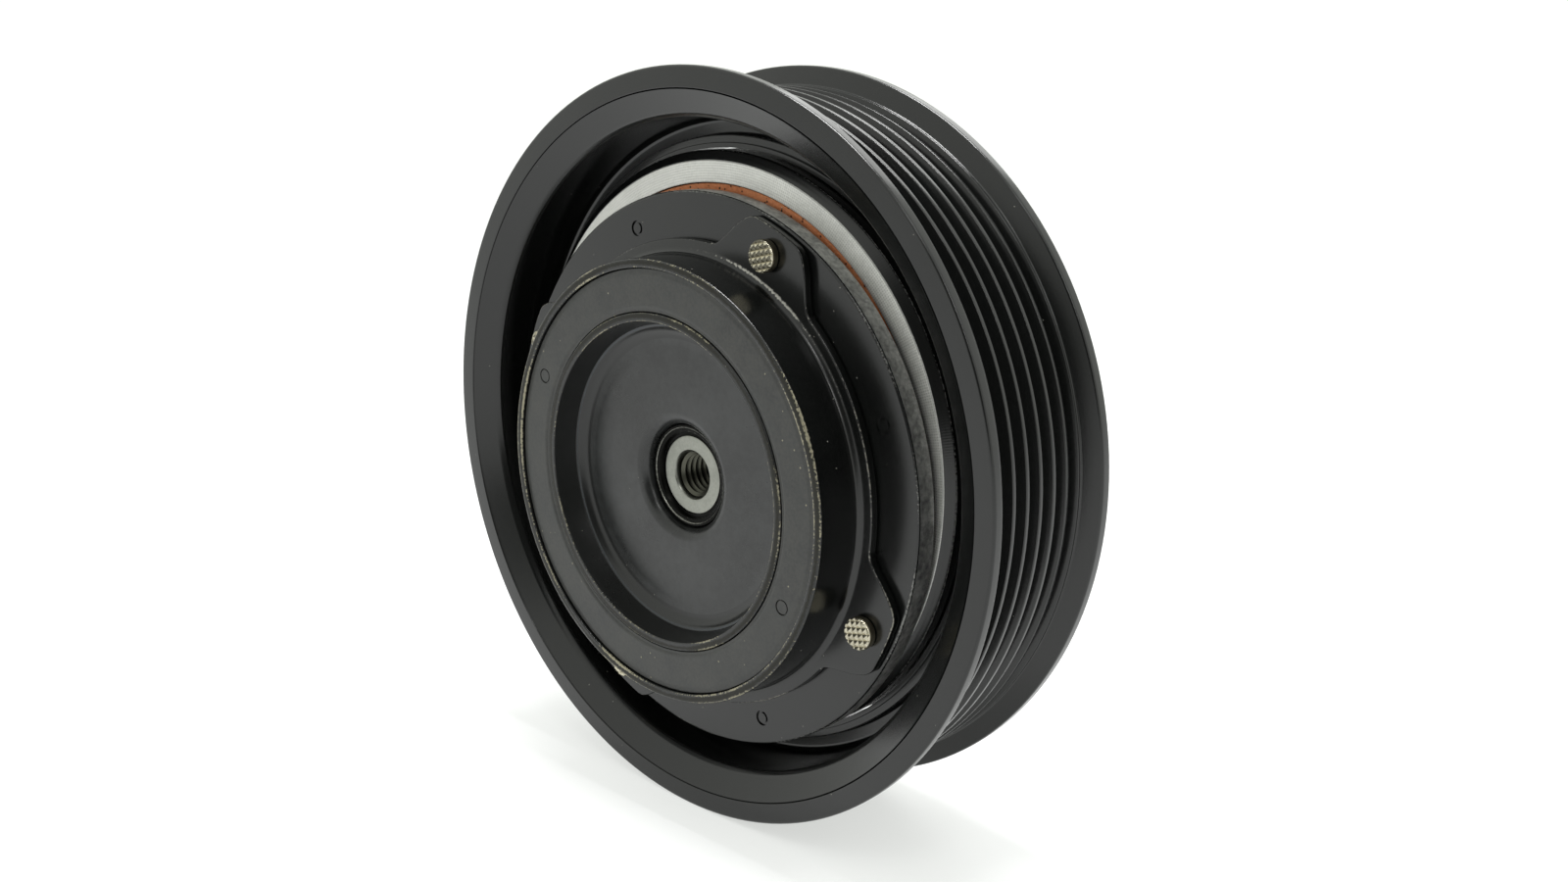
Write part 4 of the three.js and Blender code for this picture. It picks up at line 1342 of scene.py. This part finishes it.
# %% [markdown]
# ## Snap rings
#
# Three open spring rings hold the rotor on the bearing, the bearing on the nose and the coil on its boss.
# Each is a stretch of a ring with a drilled lug at both ends for the pliers.

# %% Snap rings
SNAP_HALF_GAP = math.radians(16)
LUG_RADIUS = 1.8
LUG_SHIFT = 0.54
LUG_HOLE = 0.8
CLIP_WIDTH = 2.8
INWARDS, OUTWARDS = -1, 1


def snap_ring(name, node, inner, lugs):
    """An open ring. Its lugs point inwards where it sits in a bore, and outwards on a shaft."""
    outer = inner + CLIP_WIDTH
    lug_at = outer + LUG_SHIFT if lugs == OUTWARDS else inner - LUG_SHIFT
    _, rear, front = span(node)
    first = -math.pi / 2 + SNAP_HALF_GAP
    last = -math.pi / 2 - SNAP_HALF_GAP
    ring = arc_piece(name, inner, outer, rear, front, first, 2 * math.pi - 2 * SNAP_HALF_GAP)
    for angle in (first, last):
        x, z = polar(lug_at, angle)
        combine(ring, peg(LUG_RADIUS, rear, front, x, z, 32), "UNION")
        combine(ring, peg(LUG_HOLE, rear - 1, front + 1, x, z, 24))
    return ring


spring_steel = bright_steel("spring_steel", (0.23, 0.225, 0.21), 0.32, 0.3)
snap_rings = (
    ("rotor_clip", "rotor_snap_ring", "pulley", 25.85, INWARDS),
    ("nose_clip", "nose_snap_ring", "stator", 16.6, OUTWARDS),
    ("coil_clip", "coil_snap_ring", "stator", 20.7, OUTWARDS),
)
for name, node, body, inner, lugs in snap_rings:
    finish(smooth(snap_ring(name, node, inner, lugs)), body, spring_steel, node)

# %% [markdown]
# ## The coil
#
# The coil stands still: a steel trough with a wound spool in it, sealed with resin, welded to a plate
# that bolts to the machine. A pin in the plate stops it from turning. A gland shows where its lead leaves.

# %% The coil's trough
COIL_OUTER, COIL_REAR, COIL_FRONT = span("coil_housing")
COIL_INNER = 31.05
COIL_WALL = 2
COIL_BACK = 2.5
zinc = bright_steel("zinc_steel", (0.5, 0.49, 0.45), 0.34, 0.5)
copper = bright_steel("copper_wire", (0.6, 0.24, 0.1), 0.3, 0.5)

trough = turned("coil_trough", [
    (COIL_INNER, COIL_REAR, 0.6),
    (COIL_OUTER, COIL_REAR, 0.8),
    (COIL_OUTER, COIL_FRONT, 0.3),
    (COIL_OUTER - COIL_WALL, COIL_FRONT, 0.2),
    (COIL_OUTER - COIL_WALL, COIL_REAR + COIL_BACK, 0.5),
    (COIL_INNER + COIL_WALL, COIL_REAR + COIL_BACK, 0.5),
    (COIL_INNER + COIL_WALL, COIL_FRONT, 0.2),
    (COIL_INNER, COIL_FRONT, 0.3),
])
finish(smooth(trough), "stator", zinc, "coil_housing")

# %% Spool
SPOOL_OUTER, SPOOL_REAR, SPOOL_FRONT = span("coil_bobbin")
SPOOL_INNER = COIL_INNER + COIL_WALL + 0.25
SPOOL_WALL = 0.9
SPOOL_CORE = SPOOL_INNER + SPOOL_WALL
spool = turned("spool", [
    (SPOOL_INNER, SPOOL_REAR, 0.2),
    (SPOOL_OUTER, SPOOL_REAR, 0.2),
    (SPOOL_OUTER, SPOOL_REAR + SPOOL_WALL, 0.2),
    (SPOOL_CORE, SPOOL_REAR + SPOOL_WALL, 0.2),
    (SPOOL_CORE, SPOOL_FRONT - SPOOL_WALL, 0.2),
    (SPOOL_OUTER, SPOOL_FRONT - SPOOL_WALL, 0.2),
    (SPOOL_OUTER, SPOOL_FRONT, 0.2),
    (SPOOL_INNER, SPOOL_FRONT, 0.2),
])
finish(smooth(spool), "stator", cage_nylon, "coil_bobbin")

# %% Winding
WIRE_OUTER, WIRE_REAR, WIRE_FRONT = span("coil_winding")
WIRE_PITCH = 0.9
WIRE_HOLLOW = WIRE_OUTER - 0.3


def winding_section():
    """The outside of the winding shows its turns of wire as a row of small crests."""
    inner = SPOOL_CORE + 0.25
    section = [(inner, WIRE_FRONT, 0.2), (inner, WIRE_REAR, 0.2)]
    turns = int((WIRE_FRONT - WIRE_REAR) / WIRE_PITCH)
    for i in range(turns):
        station = WIRE_REAR + (i + 0.5) * WIRE_PITCH
        section.append((WIRE_HOLLOW, station - WIRE_PITCH / 2))
        section.append((WIRE_OUTER, station, 0.25))
    return section + [(WIRE_HOLLOW, WIRE_FRONT)]


wound = turned("winding", winding_section())
finish(smooth(wound), "stator", copper, "coil_winding")

# %% Resin
RESIN_OUTER, RESIN_REAR, RESIN_FRONT = span("coil_potting")
resin = turned("resin_seal", [
    (SPOOL_INNER, RESIN_REAR, 0.1),
    (RESIN_OUTER, RESIN_REAR, 0.1),
    (RESIN_OUTER, RESIN_FRONT, 0.1),
    (RESIN_OUTER - 1.2, RESIN_FRONT - 0.3, 0.5),
    (SPOOL_INNER + 1.2, RESIN_FRONT - 0.3, 0.5),
    (SPOOL_INNER, RESIN_FRONT, 0.1),
])


def resin_finish():
    brown = Finish("potting_resin", (0.028, 0.017, 0.011), 0.22)
    tone = brown.mottle(90.0, 700.0, 0.4)
    brown.lay(tone, colour=(0.048, 0.028, 0.017), roughness=0.34)
    brown.raise_by(brown.grain(180.0, 2), 0.12 * MM)
    return brown.done()


finish(smooth(resin), "stator", resin_finish(), "coil_potting")

# %% Mounting plate and its pin
PLATE_OUTER, PLATE_BACK, PLATE_FACE = span("mounting_plate")
PLATE_BORE = 21.6
PIN_HEIGHT = middle("locating_pin").z
PIN_RADIUS = 2
WELD_SPOTS = 6
SPOT_CIRCLE = 36.5
SPOT_RADIUS = 2.4
SPOT_DEPTH = 0.35
plate = turned("coil_plate", [
    (PLATE_BORE, PLATE_BACK, 0.25),
    (PLATE_OUTER, PLATE_BACK, 0.5),
    (PLATE_OUTER, PLATE_FACE, 0.25),
    (PLATE_BORE, PLATE_FACE, 0.25),
])
combine(plate, peg(PIN_RADIUS + 0.08, PLATE_BACK - 1, PLATE_FACE + 1, 0, PIN_HEIGHT))
for i in range(WELD_SPOTS):
    x, z = polar(SPOT_CIRCLE, (i + 0.5) * 2 * math.pi / WELD_SPOTS)
    combine(plate, peg(SPOT_RADIUS, PLATE_BACK - 0.5, PLATE_BACK + SPOT_DEPTH, x, z, 32))
finish(smooth(plate), "stator", zinc, "mounting_plate")

_, PIN_REAR, PIN_FRONT = span("locating_pin")
pin = turned("stop_pin", [
    (0, PIN_REAR),
    (PIN_RADIUS, PIN_REAR, 0.7),
    (PIN_RADIUS, PIN_FRONT, 0.2),
    (0, PIN_FRONT),
], PIN_HEIGHT, steps=48)
finish(smooth(pin), "stator", zinc, "locating_pin")

# %% Lead gland
gland_low, gland_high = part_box("lead_gland")
LEAD_RADIUS = 1.1
LEAD_SHIFT = 2.5
LEAD_DEPTH = 7


def gland_block():
    bm = bmesh.new()
    size = gland_high - gland_low
    centre = Matrix.Translation((gland_low + gland_high) / 2)
    bmesh.ops.create_cube(bm, size=1, matrix=centre @ Matrix.Diagonal((*size, 1)))
    upright = [edge for edge in bm.edges if abs(edge.verts[0].co.y - edge.verts[1].co.y) > size.y / 2]
    bmesh.ops.bevel(
        bm, geom=upright, offset=1.2 * MM, segments=5, profile=0.5, affect="EDGES", material=-1
    )
    rims = [edge for edge in bm.edges if edge.calc_face_angle(0) > math.radians(60)]
    bmesh.ops.bevel(
        bm, geom=rims, offset=0.35 * MM, segments=3, profile=0.5, affect="EDGES", material=-1
    )
    return made("gland", bm)


gland = gland_block()
for side in (-1, 1):
    bore = bmesh.new()
    bore_at = Vector((side * LEAD_SHIFT * MM, (gland_low.y + gland_high.y) / 2, gland_low.z))
    bmesh.ops.create_cone(
        bore,
        cap_ends=True,
        segments=32,
        radius1=LEAD_RADIUS * MM,
        radius2=LEAD_RADIUS * MM,
        depth=LEAD_DEPTH * MM,
        matrix=Matrix.Translation(bore_at),
    )
    combine(gland, made("lead_hole", bore))
finish(smooth(gland), "stator", seal_rubber, "lead_gland")

# %% [markdown]
# ## The shim
#
# A thin washer on the shaft's shoulder sets the air gap between armature and rotor.

# %% Air gap shim
SHIM_BORE = 3.6
SHIM_RADIUS = SPLINE_TIP - 0.25
_, SHIM_REAR, SHIM_FRONT = span("air_gap_shim")
shim = turned("gap_shim", [
    (SHIM_BORE, SHIM_REAR, 0.06),
    (SHIM_RADIUS, SHIM_REAR, 0.06),
    (SHIM_RADIUS, SHIM_FRONT, 0.06),
    (SHIM_BORE, SHIM_FRONT, 0.06),
], HUB_HEIGHT)
finish(smooth(shim), "shaft_shim", spring_steel, "air_gap_shim")

# %% [markdown]
# ## Floor and light
#
# The clutch stands on its rim on a plain pale floor, in a bright white studio. Black satin parts show
# what surrounds them, so the white surroundings do most of the lighting. Four soft lights add the bright
# lines: one straight above, one behind, and small ones at the right and in front. The floor glows a
# little by itself, so that it is as white as the backdrop and the shadow on it stays faint.

# %% Floor
FLOOR_REACH = 4
PAPER_GREY = (0.42, 0.42, 0.43, 1)
PAPER_GLOW = (0.98, 1, 0.97, 1)
GLOW_STRENGTH = 0.6


def pale_floor():
    bm = bmesh.new()
    place = Matrix.Translation((0, 0, cad_low.z))
    bmesh.ops.create_grid(bm, x_segments=1, y_segments=1, size=FLOOR_REACH, matrix=place)
    floor = made("floor", bm)
    paper = bpy.data.materials.new("floor_paper")
    paper.use_nodes = True
    shader = paper.node_tree.nodes["Principled BSDF"]
    shader.inputs["Base Color"].default_value = PAPER_GREY
    shader.inputs["Roughness"].default_value = 0.9
    shader.inputs["Specular IOR Level"].default_value = 0.1
    shader.inputs["Emission Color"].default_value = PAPER_GLOW
    shader.inputs["Emission Strength"].default_value = GLOW_STRENGTH
    floor.data.materials.append(paper)
    return floor


pale_floor()
print("floor at", round(cad_low.z / MM, 1), "mm")

# %% World
WHITE = 1.1
WHITE_TINT = (0.975, 1, 0.945, 1)
DARK_SIDE = 0.1
DARK_SIDE_AT = Vector((0.55, -0.8, 0.25))
DARK_BEGINS = 0.78
DARK_FULL = 0.93


def white_studio():
    """White all round, with one darker side where the room is open. The backdrop itself stays white."""
    world = bpy.data.worlds.new("white_studio")
    world.use_nodes = True
    tree = world.node_tree
    direction = tree.nodes.new("ShaderNodeTexCoord").outputs["Generated"]
    towards_room = tree.nodes.new("ShaderNodeVectorMath")
    towards_room.operation = "DOT_PRODUCT"
    wire(tree, direction, towards_room.inputs[0])
    towards_room.inputs[1].default_value = DARK_SIDE_AT.normalized()
    lit = stretch(tree, towards_room.outputs["Value"], DARK_BEGINS, DARK_FULL, WHITE, DARK_SIDE)
    seen = tree.nodes.new("ShaderNodeLightPath").outputs["Is Camera Ray"]
    strength = maths(tree, "MAXIMUM", lit, maths(tree, "MULTIPLY", seen, WHITE))
    wire(tree, strength, tree.nodes["Background"].inputs["Strength"])
    tree.nodes["Background"].inputs["Color"].default_value = WHITE_TINT
    return world


scene.world = white_studio()
print("world strength:", WHITE, "and", DARK_SIDE, "on the dark side")


# %% Lights
def soft_light(name, place, size, power):
    """An area light at a place in metres, turned towards the clutch."""
    lamp = bpy.data.lights.new(name, "AREA")
    lamp.shape = "RECTANGLE"
    lamp.size, lamp.size_y = size
    lamp.energy = power
    holder = bpy.data.objects.new(name, lamp)
    holder.location = place
    holder.rotation_euler = (-Vector(place)).to_track_quat("-Z", "Y").to_euler()
    scene.collection.objects.link(holder)


soft_light("behind_above", (-0.17, 0.56, 0.54), (0.46, 0.34), 0.9)
soft_light("overhead", (0.0, 0.0, 0.72), (0.34, 0.12), 5.2)
soft_light("right_above", (0.62, -0.2, 0.47), (0.05, 0.22), 0.34)
soft_light("front_above", (0.3, -0.34, 0.54), (0.1, 0.1), 0.3)
scene.view_settings.view_transform = "Standard"

# %% [markdown]
# ## Closing
#
